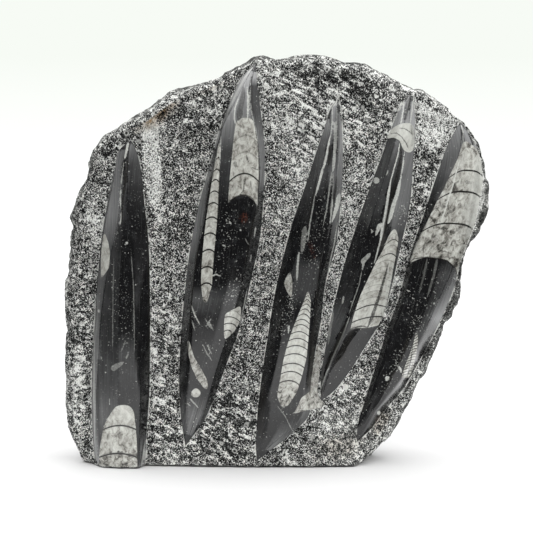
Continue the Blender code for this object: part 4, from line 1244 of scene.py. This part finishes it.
def startMaterial(name, attributes=()):
    # a material, what adds a node to it, the place on the object in mm and what the mesh has painted
    material = bpy.data.materials.new(name)
    add = startTree(material)
    place = add("VectorMath", {0: add("TexCoord", out="Object"), "Scale": 1 / mm}, operation="SCALE")
    painted = {part: add("Attribute", out="Fac", attribute_name=part) for part in attributes}
    return material, add, place, painted


polish = {
    "stone": "#131314",
    "greyStone": "#2b2c2d",
    "calcite": [(0.0, "#3c3b37"), (0.16, "#74726c"), (0.36, "#a5a49d"), (0.60, "#c4c5be"), (1.0, "#dcded7")],
    "wall": "#242321",
    "streak": "#d3d5cf",
    "rust": "#4b2a20",
    # the grey of the facets: a dull haze of the polish and painted reflection
    "hazeAndReflection": "#a2a3a3",
    "ior": 1.56,
    "roughness": 0.13,
    "gloss": (0.08, 0.50),    # specular level of the dullest facets and of the others
    "fineSize": 0.9,          # mm
    "cloudSize": 6.0,
    "speckSpacing": 2.3,
    "saltSize": 1.05,
    "wallWidth": (0.30, 0.62),    # half the width of the walls of small and large chambers, mm
    "streakSize": (0.7, 34.0),    # across and along a ridge, mm
    "grainSize": (3.0, 4.6, 5.0),    # of the calcite: across and along a ridge, and from chamber to chamber
    "waveSize": 9.0,
    "waveHeight": 0.04 * mm,
}


def makePolished():
    # Fossil limestone, ground on a wheel and polished: near black and glossy, with the shells in
    # pale calcite cut flush, thin dark chamber walls and mineral stains.
    material, add, place, painted = startMaterial("polishedLimestone", ("ridgeAcross", "ridgeAlong", "hazeAndReflection",
            "hazeAndReflectionTone", "fleck", "brown", "calcite", "chamber", "chamberSize", "shellTone", "wallTone",
            "paleStreakAndGlint", "paleStreakAndGlintTone", "darkStreak", "darkStreakTone"))
    fine = add("TexNoise", {"Vector": place, "Scale": 1 / polish["fineSize"], "Detail": 3.0})
    cloud = add("TexNoise", {"Vector": place, "Scale": 1 / polish["cloudSize"], "Detail": 5.0,
            "Roughness": 0.65})
    wobble = add("Math", (fine, 0.5, -0.25), operation="MULTIPLY_ADD")

    # the black stone is cloudy, with grey specks
    cloudy = add("MapRange", (cloud, 0.50, 0.75))
    cells = add("TexVoronoi", {"Vector": place, "Scale": 1 / polish["speckSpacing"]}, out=None).outputs
    chance = add("SeparateColor", {"Color": cells["Color"]})
    size = add("MapRange", (chance, 0.55, 1.0, 0.0, 0.20))
    speck = add("Math", (cells["Distance"], size), operation="LESS_THAN")
    speck = add("Math", (speck, fine), operation="MULTIPLY")

    # lines that the wheel drew along the ridges, and the grey facets: a dull haze of the polish and painted
    # reflection
    across, along = [add("Math", (painted[name], size), operation="DIVIDE")
                     for name, size in zip(("ridgeAcross", "ridgeAlong"), polish["streakSize"])]
    lane = add("CombineXYZ", {"X": across, "Y": along})
    lanes = add("TexNoise", {"Vector": lane, "Scale": 1.0, "Detail": 4.0, "Roughness": 0.65})
    line = add("MapRange", (lanes, 0.58, 0.76, 0.0, 0.16))
    line = add("Math", (line, fine), operation="MULTIPLY")
    hazeAndReflectionShare = add("Math", (wobble, 1.0, painted["hazeAndReflection"]), operation="MULTIPLY_ADD")
    hazeAndReflectionShare = add("MapRange", (hazeAndReflectionShare, -0.1, 0.35), **softEnds)
    hazeAndReflectionShare = add("Math", (hazeAndReflectionShare, painted["hazeAndReflectionTone"]), operation="MULTIPLY")
    uneven = add("MapRange", (lanes, 0.3, 0.7, 0.62, 1.35))
    hazeAndReflectionShare = add("Math", (hazeAndReflectionShare, uneven), operation="MULTIPLY", use_clamp=True)

    # a fine salt of pale mineral, thick in some places, and rust
    salt = add("TexNoise", {"Vector": place, "Scale": 1 / polish["saltSize"], "Detail": 1.0})
    thickness = add("Math", (painted["fleck"], 0.07, -0.70), operation="MULTIPLY_ADD")
    salt = add("Math", (salt, thickness), operation="ADD")
    strength = add("Math", (painted["fleck"], 0.40, 0.14), operation="MULTIPLY_ADD")
    salt = add("MapRange", (salt, -0.02, 0.05, 0.0, strength))
    rust = add("Math", (fine, lanes), operation="MULTIPLY")
    rust = add("Math", (painted["brown"], rust), operation="MULTIPLY")
    rust = add("MapRange", (rust, 0.18, 0.30))
    stone = toLinear(polish["stone"])
    for share, code in ((cloudy, "greyStone"), (speck, "streak"), (line, "streak"), (hazeAndReflectionShare, "hazeAndReflection"),
                        (salt, "streak"), (rust, "rust")):
        stone = add("Mix", {0: share, 6: stone, 7: toLinear(polish[code])}, out=2, data_type="RGBA")

    # the calcite of the shells: each chamber a little different, more stained where its tone is low
    tone, chamber, chamberSize = painted["shellTone"], painted["chamber"], painted["chamberSize"]
    number = add("Math", (chamber,), operation="FLOOR")
    number = add("Math", (tone, 37.0, number), operation="MULTIPLY_ADD")
    own = add("TexWhiteNoise", {"W": number}, noise_dimensions="1D")
    grain = add("CombineXYZ", {"X": painted["ridgeAcross"], "Y": painted["ridgeAlong"], "Z": number})
    grain = add("VectorMath", (grain, [1 / size for size in polish["grainSize"]]),
                operation="MULTIPLY")
    mottle = add("TexNoise", {"Vector": grain, "Scale": 1.0, "Detail": 5.0, "Roughness": 0.66,
            "Distortion": 0.7})
    swing = add("Math", (mottle, 0.5), operation="SUBTRACT")
    contrast = add("MapRange", (tone, 0.5, 0.95, 2.9, 1.2))
    level = -0.37
    for part, share in ((tone, 0.95), (swing, contrast), (own, 0.16)):
        level = add("Math", (part, share, level), operation="MULTIPLY_ADD")
    calcite = add("ValToRGB", {"Fac": level}, stops=polish["calcite"])

    # its chamber walls, by the distance in mm to the nearest one
    apart = chamber
    for operation, other in (("ADD", 0.5), ("FRACT", 0.5), ("SUBTRACT", 0.5), ("ABSOLUTE", 0.5),
                             ("MULTIPLY", chamberSize)):
        apart = add("Math", (apart, other), operation=operation)
    apart = add("Math", (wobble, 0.5, apart), operation="MULTIPLY_ADD")
    thick = add("MapRange", (chamberSize, 2.0, 12.0, polish["wallWidth"][0], polish["wallWidth"][1]))
    apart = add("Math", (apart, thick), operation="DIVIDE")
    wall = add("MapRange", (apart, 0.6, 1.3, 1.0, 0.0), **softEnds)
    wall = add("Math", (wall, painted["wallTone"]), operation="MULTIPLY")
    calcite = add("Mix", {0: wall, 6: calcite, 7: toLinear(polish["wall"])}, out=2, data_type="RGBA")
    inside = add("Math", (wobble, 0.8, painted["calcite"]), operation="MULTIPLY_ADD")
    inside = add("MapRange", (inside, -0.12, 0.16), **softEnds)
    colour = add("Mix", {0: inside, 6: stone, 7: calcite}, out=2, data_type="RGBA")

    # streaks, pale then dark, worn through in places; the pale ones along the crests and creases are painted
    # glints
    broken = add("MapRange", (cloud, 0.30, 0.52, 0.55))
    worn = add("MapRange", (fine, 0.36, 0.52, 0.62))
    for name, code in (("paleStreakAndGlint", "streak"), ("darkStreak", "wall")):
        depth = add("Math", (wobble, 1.8, painted[name]), operation="MULTIPLY_ADD")
        depth = add("MapRange", (depth, -0.14, 0.26), **softEnds)
        for share in (broken, worn, painted[name + "Tone"]):
            depth = add("Math", (depth, share), operation="MULTIPLY")
        colour = add("Mix", {0: depth, 6: colour, 7: toLinear(polish[code])}, out=2, data_type="RGBA")

    # the wheel leaves the faces very slightly uneven
    gloss = add("MapRange", (painted["hazeAndReflectionTone"], -1.0, 0.0, polish["gloss"][0], polish["gloss"][1]))
    wave = add("TexNoise", {"Vector": place, "Scale": 1 / polish["waveSize"], "Detail": 1.0})
    bump = add("Bump", {"Height": wave, "Strength": 1.0, "Distance": polish["waveHeight"]})
    shader = add("BsdfPrincipled", {"Base Color": colour, "Roughness": polish["roughness"],
            "IOR": polish["ior"], "Specular IOR Level": gloss, "Normal": bump})
    add("OutputMaterial", {"Surface": shader}, out=None)
    return material


pecked = {
    "shades": [(0.0, "#0b0b0c"), (0.24, "#2c2d2d"), (0.44, "#5e5f5d"), (0.60, "#9d9e9a"), (0.80, "#fbfcf8")],
    "brown": "#9c7f58",
    "crushed": "#e6e7e2",
    # the near black of a pit's hollow is painted shade
    "pit": "#0c0c0c",
    "ior": 1.5,
    "roughness": 0.85,
    "specular": 0.15,       # the pits shade the gloss
    "level": 0.302,
    "calm": 0.36,           # the share of the fine marks that is left where the stone broke smooth
    "scraped": 0.75,        # the share of the grain that is left where the point slid
    "clouds": {             # size in mm, detail and roughness of each noise on the stone's own places
        "speck": (0.8, 2.0, 0.6), "chip": (2.2, 3.0, 0.65), "patch": (17.0, 2.0, 0.5),
        "bruise": (5.0, 3.0, 0.6), "slide": (5.0, 2.0, 0.5), "grit": (0.7, 3.0, 0.7),
    },
    "bentClouds": {         # and of those on bent places
        "smallCurl": (1.9, 1.0, 0.5), "curl": (3.0, 1.0, 0.5), "crease": (1.7, 1.0, 0.5),
        "hole": (1.3, 1.0, 0.5),
    },
    "drawnClouds": {"stroke": (2.2, 1.0, 0.5)},    # and on places drawn out along the strokes
    "bend": 2.4,            # how far the marks are bent, and over what length
    "bendSize": 2.6,
    "curls": {"smallCurl": 0.07, "curl": 0.045},    # half width in steps of the noise
    "creaseWidth": 0.07,
    # the dark side of a long mark is painted shadow, the pale side crushed stone
    "strokeShadowAndCrush": (-0.30, 0.60),    # of the shaded and the crushed side of a long mark
    "strokeBend": 0.35,     # how much of the bend the long marks have
    "blows": [(5.2, 0.34, 0.26), (7.5, 0.30, 0.22)],    # spacing in mm, radius and width as a share of it
    "pitSpacing": 6.5,
    "bumpHeight": 0.7 * mm,
}


def makePecked():
    # Limestone dressed with a pointed hammer, or broken: dull and dark, with each blow's bruise a
    # curved mark of pale crushed stone, dark pits in pale rings, and long marks where the point slid.
    # The dark of the pits and holes and of one side of each long mark is painted shade.
    material, add, place, painted = startMaterial("peckedLimestone", ("turn", "stroke", "raised", "pale",
            "calm", "borderGap", "brown", "paleStreakAndGlint", "paleStreakAndGlintTone"))
    bend = add("TexNoise", {"Vector": place, "Scale": 1 / pecked["bendSize"], "Detail": 1.0}, out="Color")
    bend = add("VectorMath", {0: bend, "Scale": pecked["bend"]}, operation="SCALE")
    bent = add("VectorMath", (place, bend), operation="ADD")
    angle = add("Math", (painted["turn"], roughness["Stroke turn"]), operation="ADD")
    straight = add("Mix", {0: pecked["strokeBend"], 4: place, 5: bent}, out=1, data_type="VECTOR")
    turned = add("VectorRotate", {"Vector": straight, "Angle": angle}, rotation_type="Y_AXIS")
    drawn = add("VectorMath", (turned, (1 / roughness["Stroke length"], 1.0, 1.0)), operation="MULTIPLY")

    # noises around 0
    clouds = {}
    for vector, sizes in ((place, pecked["clouds"]), (bent, pecked["bentClouds"]),
                          (drawn, pecked["drawnClouds"])):
        for name, (size, detail, rough) in sizes.items():
            cloud = add("TexNoise", {"Vector": vector, "Scale": 1 / size, "Detail": detail,
                    "Roughness": rough})
            clouds[name] = add("Math", (cloud, 0.5), operation="SUBTRACT")
    speck, chip, bruise = clouds["speck"], clouds["chip"], clouds["bruise"]

    def nearTo(value, wanted, width):
        # 1 where a value is as wanted, and 0 where it is a width away
        gap = add("Math", (value, wanted), operation="SUBTRACT")
        gap = add("Math", (gap,), operation="ABSOLUTE")
        return add("MapRange", (gap, 0.0, width, 1.0, 0.0), **softEnds)

    # curved marks around scattered blows, where the stone is bruised
    blows = curls = 0.0
    for spacing, radius, width in pecked["blows"]:
        cells = add("TexVoronoi", {"Vector": bent, "Scale": 1 / spacing}, out=None).outputs
        mark = nearTo(cells["Distance"], radius, width * radius)
        chance = add("SeparateColor", {"Color": cells["Color"]})
        chance = add("MapRange", (chance, 0.2, 0.6))
        mark = add("Math", (mark, chance), operation="MULTIPLY")
        blows = add("Math", (mark, blows), operation="MAXIMUM")
    chipped = add("MapRange", (chip, -0.05, 0.05))
    blows = add("Math", (blows, chipped), operation="MULTIPLY")

    # curls and creases of crumbled stone, and holes, which are painted darker: painted shade in them
    for name, width in pecked["curls"].items():
        curls = add("Math", (nearTo(clouds[name], 0.0, width), curls), operation="MAXIMUM")
    for value, low, high, least in ((bruise, -0.10, 0.08, 0.25), (speck, -0.14, 0.06, 0.3)):
        share = add("MapRange", (value, low, high, least, 1.0))
        curls = add("Math", (curls, share), operation="MULTIPLY")
    creases = nearTo(clouds["crease"], -0.08, pecked["creaseWidth"])
    holes = add("MapRange", (clouds["hole"], 0.08, 0.14), **softEnds)

    # long marks of the point, more of them where it slid: a pale side of crushed stone and a side of painted
    # shadow
    dark, pale = pecked["strokeShadowAndCrush"]
    long = add("MapRange", (clouds["stroke"], -0.11, 0.17, dark, pale))
    slid = add("Math", (painted["stroke"], 0.18, -0.13), operation="MULTIPLY_ADD")
    slid = add("Math", (clouds["slide"], slid), operation="ADD")
    slid = add("MapRange", (slid, -0.05, 0.04))
    long = add("Math", (long, slid), operation="MULTIPLY")

    # all of it together: less grain where the point slid, and less of all of it where the stone
    # broke smooth. It is paler where the relief stands high, from crushed stone, and darker in the
    # relief's hollows, which is painted shade.
    scraped = add("MapRange", (painted["stroke"], 0.0, 1.0, 1.0, pecked["scraped"]))
    calm = add("MapRange", (painted["calm"], 0.0, 1.0, 1.0, pecked["calm"]))
    level = 0.0
    for part, share in ((speck, 3.3), (chip, 0.70), (creases, -0.26)):
        level = add("Math", (part, share, level), operation="MULTIPLY_ADD")
    level = add("Math", (level, scraped), operation="MULTIPLY")
    for part, share in ((curls, 0.68), (holes, -0.36), (blows, 0.24), (long, 1.0),
                        (painted["raised"], 0.16)):
        level = add("Math", (part, share, level), operation="MULTIPLY_ADD")
    level = add("Math", (level, calm, pecked["level"]), operation="MULTIPLY_ADD")
    for part, share in ((clouds["patch"], 0.5), (bruise, 0.35), (painted["pale"], 0.30),
                        (painted["calm"], 0.05)):
        level = add("Math", (part, share, level), operation="MULTIPLY_ADD")
    colour = add("ValToRGB", {"Fac": level}, stops=pecked["shades"])

    # a broken line of crushed stone along the polish
    edge = painted["borderGap"]
    for part, share in ((chip, 3.0), (bruise, -6.0)):
        edge = add("Math", (part, share, edge), operation="MULTIPLY_ADD")
    edge = add("MapRange", (edge, -0.15, 0.55, 0.80, 0.0), **softEnds)

    # pits in pale rings of crushed stone, with the hollow of each painted near black: painted shade in the
    # pit
    cells = add("TexVoronoi", {"Vector": bent, "Scale": 1 / pecked["pitSpacing"]}, out=None).outputs
    chance = add("SeparateColor", {"Color": cells["Color"]}, out="Green")
    size = add("MapRange", (chance, 0.35, 1.0, 0.0, 0.17))
    pit = add("Math", (size, cells["Distance"]), operation="SUBTRACT")
    ring = add("MapRange", (pit, -0.20, -0.06), **softEnds)
    ringTone = add("MapRange", (size, 0.0, 0.08, 0.0, 0.55))
    for share in (ringTone, calm):
        ring = add("Math", (ring, share), operation="MULTIPLY")
    pitHollowAndShade = add("MapRange", (pit, -0.03, 0.03, 0.0, 0.95), **softEnds)

    # fossils that reach past the polish, and iron stain
    streak = add("Math", (chip, 1.6, painted["paleStreakAndGlint"]), operation="MULTIPLY_ADD")
    streak = add("MapRange", (streak, -0.1, 0.3), **softEnds)
    streak = add("Math", (streak, painted["paleStreakAndGlintTone"]), operation="MULTIPLY")
    stain = add("Math", (bruise, 1.5, 0.5), operation="MULTIPLY_ADD")
    stain = add("Math", (stain, painted["brown"]), operation="MULTIPLY", use_clamp=True)
    for share, code, how in ((edge, "crushed", "MIX"), (ring, "crushed", "MIX"), (pitHollowAndShade, "pit", "MIX"),
                             (streak, "crushed", "MIX"), (stain, "brown", "MULTIPLY")):
        colour = add("Mix", {0: share, 6: colour, 7: toLinear(pecked[code])}, out=2, data_type="RGBA",
                blend_type=how)

    height = 0.0
    for part, share in ((clouds["grit"], 1.0), (curls, 0.25), (holes, -0.4), (blows, 0.2), (long, 0.3),
                        (pitHollowAndShade, -0.9)):
        height = add("Math", (part, share, height), operation="MULTIPLY_ADD")
    bump = add("Bump", {"Height": height, "Strength": 1.0, "Distance": pecked["bumpHeight"]})
    shader = add("BsdfPrincipled", {"Base Color": colour, "Roughness": pecked["roughness"],
            "IOR": pecked["ior"], "Specular IOR Level": pecked["specular"], "Normal": bump})
    add("OutputMaterial", {"Surface": shader}, out=None)
    return material


sawn = {
    "shades": [(0.3, "#2f3030"), (0.7, "#4a4b4b")],
    "ior": 1.5,
    "roughness": 0.6,
    "lineSpacing": 1.4,    # mm
    "dustSize": 5.0,
    "lineDepth": 0.08 * mm,
}


def makeSawn():
    # Limestone cut with a disc: flat and dull, grey with stone dust, with the blade's fine lines.
    material, add, place, _ = startMaterial("sawnLimestone")
    lines = add("TexWave", {"Vector": place, "Scale": 0.31 / sawn["lineSpacing"], "Distortion": 1.2,
            "Detail": 2.0}, out="Fac", wave_type="BANDS", bands_direction="X")
    dust = add("TexNoise", {"Vector": place, "Scale": 1 / sawn["dustSize"], "Detail": 4.0})
    level = add("Math", (lines, 0.15, dust), operation="MULTIPLY_ADD")
    colour = add("ValToRGB", {"Fac": level}, stops=sawn["shades"])
    bump = add("Bump", {"Height": lines, "Strength": 0.5, "Distance": sawn["lineDepth"]})
    shader = add("BsdfPrincipled", {"Base Color": colour, "Roughness": sawn["roughness"], "IOR": sawn["ior"],
            "Normal": bump})
    add("OutputMaterial", {"Surface": shader}, out=None)
    return material


def polishNormals(flat, corners):
    # the front's own direction at each corner of the polish, taken a little inside its triangle so
    # that creases stay crisp
    at = flat[corners] * 0.6 + flat[corners].mean(axis=1)[:, None] * 0.4
    px, py = at[..., 0].ravel(), at[..., 1].ravel()
    step = 0.3    # pixels
    across = frontPlace(px + step, py) - frontPlace(px - step, py)
    down = frontPlace(px, py + step) - frontPlace(px, py - step)
    normals = np.cross(down, across)
    normals /= np.linalg.norm(normals, axis=1)[:, None]
    return normals.reshape(-1, 3, 3)


# Where each kind of surface begins and where it is full.
surface = {
    "aboveFoot": (0.3 * mm, 4.0 * mm),
    "frontAboveFoot": (0.3 * mm, 2.0 * mm),
    "broken": (0.05, 0.40),         # as a share of the way from front to back
    "pecked": (0.15, 0.55),
    "calm": (0.05, 0.5),
    "besidePolish": (0.15, 1.7),    # mm from a ridge's border
    "lumps": (0.5, 6.0),
    "sawnBelow": 0.2 * mm,
    "boxEase": 1.5 * mm,            # how near to the solid's box it is eased
    "boxShare": 0.98,
    "sharp": math.radians(42),
}


def readVectors(data, key):
    values = np.empty(len(data) * 3, np.float32)
    data.foreach_get(key, values)
    return values.reshape(-1, 3)


def keepInside(places):
    # eases what would pass the solid's box back inside it, and leaves nothing under the foot
    ease, share = surface["boxEase"], surface["boxShare"]
    for axis, (low, high) in enumerate(zip(*cadBox)):
        over = np.maximum(places[:, axis] - (high - ease), 0.0)
        places[:, axis] -= over - ease * share * (1 - np.exp(-over / ease))
        if axis < 2:
            under = np.maximum(low + ease - places[:, axis], 0.0)
            places[:, axis] += under - ease * share * (1 - np.exp(-under / ease))
    places[:, 2] = np.maximum(places[:, 2], 0.0)


def stoneObject():
    places, flat, triangles, uvs = buildStone()
    count, frontCount = len(places), len(flat)
    mesh = bpy.data.meshes.new("fossilPlateStone")
    mesh.from_pydata(places.tolist(), [], triangles.tolist())
    mesh.update()
    front = paintFront(*flat.T)
    onRidge = onPolish(*flat.T)

    # where each kind of roughness goes
    x, y, z = places.T
    shareBack = (y - frontDepth(x, z)) / (backDepth(x, z) - frontDepth(x, z))
    aboveFoot = smooth(*surface["aboveFoot"], z)
    broken = smooth(*surface["broken"], shareBack) * aboveFoot
    broken[:frontCount] = 0.0
    rough = (1 - smooth(*surface["pecked"], shareBack)) * aboveFoot
    rough[:frontCount] = smooth(*surface["besidePolish"], front["borderGap"]) * ~onRidge
    rough[:frontCount] *= smooth(*surface["frontAboveFoot"], z[:frontCount])

    # the solid's broad lumps, which stop short of the ridges
    lumpShare = aboveFoot.copy()
    lumpShare[:frontCount] *= smooth(*surface["lumps"], front["borderGap"]) * ~onRidge
    halfDepth = (slab["frontReach"] + slab["backReach"]) / 2
    lumps = np.array([lumpHeight(Vector((a, (share * 2 - 1) * halfDepth, c)), share)
                      for a, c, share in zip(x, z, shareBack.clip(0, 1))])
    places = places + readVectors(mesh.vertex_normals, "vector") * (lumps * lumpShare)[:, None]
    mesh.vertices.foreach_set("co", places.astype(np.float32).ravel())

    stored = {name: np.concatenate([values, np.full(count - frontCount, unpainted.get(name, 0.0))])
              for name, values in front.items()}
    stored["calm"] = np.maximum(stored["calm"], slab["backCalm"] * smooth(*surface["calm"], shareBack))
    for name, values in {"pecked": rough, "broken": broken, **stored}.items():
        mesh.attributes.new(name, "FLOAT", "POINT").data.foreach_set("value", values.astype(np.float32))
    onFront = (triangles < frontCount).all(axis=1)
    isPolished = np.zeros(len(triangles), bool)
    isPolished[onFront] = onPolish(*flat[triangles[onFront]].mean(axis=1).T)
    isSawn = (places[triangles][:, :, 2] < surface["sawnBelow"]).all(axis=1)
    for name, values in (("isPolished", isPolished), ("isSawn", isSawn)):
        mesh.attributes.new(name, "BOOLEAN", "FACE").data.foreach_set("value", values)
    mesh.uv_layers.new(name="OFBake").uv.foreach_set("vector", uvs.astype(np.float32).ravel())
    say(f"stone: {count} points, {len(triangles)} triangles, {isPolished.sum()} of them polished")

    stone = bpy.data.objects.new("fossilPlateStone", mesh)
    bpy.context.scene.collection.objects.link(stone)
    tree = roughnessTree(makePolished(), makePecked(), makeSawn())
    modifier = stone.modifiers.new("roughness", "NODES")
    modifier.node_group = tree
    for item in tree.interface.items_tree:
        if item.in_out == "INPUT" and item.name in roughness:
            modifier[item.identifier] = roughness[item.name]
    graph = bpy.context.evaluated_depsgraph_get()
    finished = bpy.data.meshes.new_from_object(stone.evaluated_get(graph))
    stone.modifiers.clear()
    stone.data = finished

    places = readVectors(finished.vertices, "co")
    keepInside(places)
    finished.vertices.foreach_set("co", places.ravel())
    finished.polygons.foreach_set("use_smooth", np.ones(len(triangles), bool))
    finished.update()
    finished.set_sharp_from_angle(angle=surface["sharp"])
    normals = np.zeros((len(triangles), 3, 3))    # 0 leaves the mesh's own
    normals[isPolished] = polishNormals(flat, triangles[isPolished])
    finished.normals_split_custom_set(normals.reshape(-1, 3).tolist())
    say(f"roughness: {len(finished.polygons)} triangles")
    return stone


stone = stoneObject()
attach(stone, "root")
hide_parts("fossil_plate")

cameraData = bpy.data.cameras.new("camera")
cameraData.lens = view["sensor"] * focal / view["size"]
cameraData.sensor_width = view["sensor"]
camera = bpy.data.objects.new("camera", cameraData)
bpy.context.scene.collection.objects.link(camera)
camera.location = eye
camera.rotation_euler = (math.pi / 2 - view["elevation"], 0.0, 0.0)
bpy.context.scene.camera = camera
say("camera")

studio = {
    "floorRadius": 0.95,    # metres
    "floorGrey": 0.80,      # as the stone is lit by it, and as the camera sees it
    "floorSeen": 0.64,
    "floorMirrored": (0.17, 0.32),    # how far to the sides the polish still mirrors it bright
    "floorFade": (0.30, 0.85),
    "floorNarrow": 2.0,
    "overhead": 3.0,
    "side": (0.45, 1.9),    # where it begins, and how bright it is
    "sideMirrored": (0.80, 0.6),
    "rest": 0.05,
    "backdrop": "#f7fbf5",
    "backdropLow": (1.1, 1.1, 1.1, 1),
}


def makeFloor():
    # a plain pale floor, which falls off to dark in what the polish reflects
    material = bpy.data.materials.new("paleFloor")
    add = startTree(material)
    where = add("TexCoord", out="Object")
    narrow = add("VectorMath", (where, (studio["floorNarrow"], 1.0, 1.0)), operation="MULTIPLY")
    reach = add("VectorMath", (narrow,), out="Value", operation="LENGTH")
    aside = add("Math", (add("SeparateXYZ", {0: where}),), operation="ABSOLUTE")
    grey, mirrored = [
        add("MapRange", (value, studio[name][0], studio[name][1], most, 0.0), **softEnds)
        for value, name, most in ((reach, "floorFade", studio["floorGrey"]), (aside, "floorMirrored", 1.0))]
    aside = add("Mix", {0: add("LightPath", out="Is Glossy Ray"), 2: 1.0, 3: mirrored})
    grey = add("Math", (grey, aside), operation="MULTIPLY")
    grey = add("Mix", {0: add("LightPath", out="Is Camera Ray"), 2: grey, 3: studio["floorSeen"]})
    add("OutputMaterial", {"Surface": add("BsdfDiffuse", {"Color": grey})}, out=None)
    bpy.ops.mesh.primitive_circle_add(vertices=96, radius=studio["floorRadius"], fill_type="TRIFAN")
    floor = bpy.context.active_object
    floor.name = "paleFloor"
    floor.location.z = -0.05 * mm
    floor.data.materials.append(material)


def makeWorld():
    # a light tent: bright overhead, softer from the right, dark at eye level
    world = bpy.data.worlds.new("lightTent")
    add = startTree(world)
    parts = add("SeparateXYZ", {0: add("TexCoord", out="Generated")}, out=None).outputs
    overhead = add("MapRange", (parts["Z"], 0.45, 0.78, studio["rest"], studio["overhead"]), **softEnds)
    lit, mirrored = [add("MapRange", (parts["X"], start, 0.97, 0.0, strength), **softEnds)
                     for start, strength in (studio["side"], studio["sideMirrored"])]
    side = add("Mix", {0: add("LightPath", out="Is Glossy Ray"), 2: lit, 3: mirrored})
    light = add("Math", (side, overhead), operation="ADD")
    tent = add("Background", {"Color": (1, 1, 1, 1), "Strength": light})
    high = add("MapRange", (parts["Z"], -0.09, 0.0))
    backdrop = add("Mix", {0: high, 6: studio["backdropLow"], 7: toLinear(studio["backdrop"])}, out=2,
            data_type="RGBA")
    backdrop = add("Background", {"Color": backdrop, "Strength": 1.0})
    shown = add("MixShader", {0: add("LightPath", out="Is Camera Ray"), 1: tent, 2: backdrop})
    add("OutputWorld", {"Surface": shown}, out=None)
    bpy.context.scene.world = world


makeFloor()
makeWorld()
bpy.context.scene.view_settings.view_transform = "Standard"
say("floor and light tent")
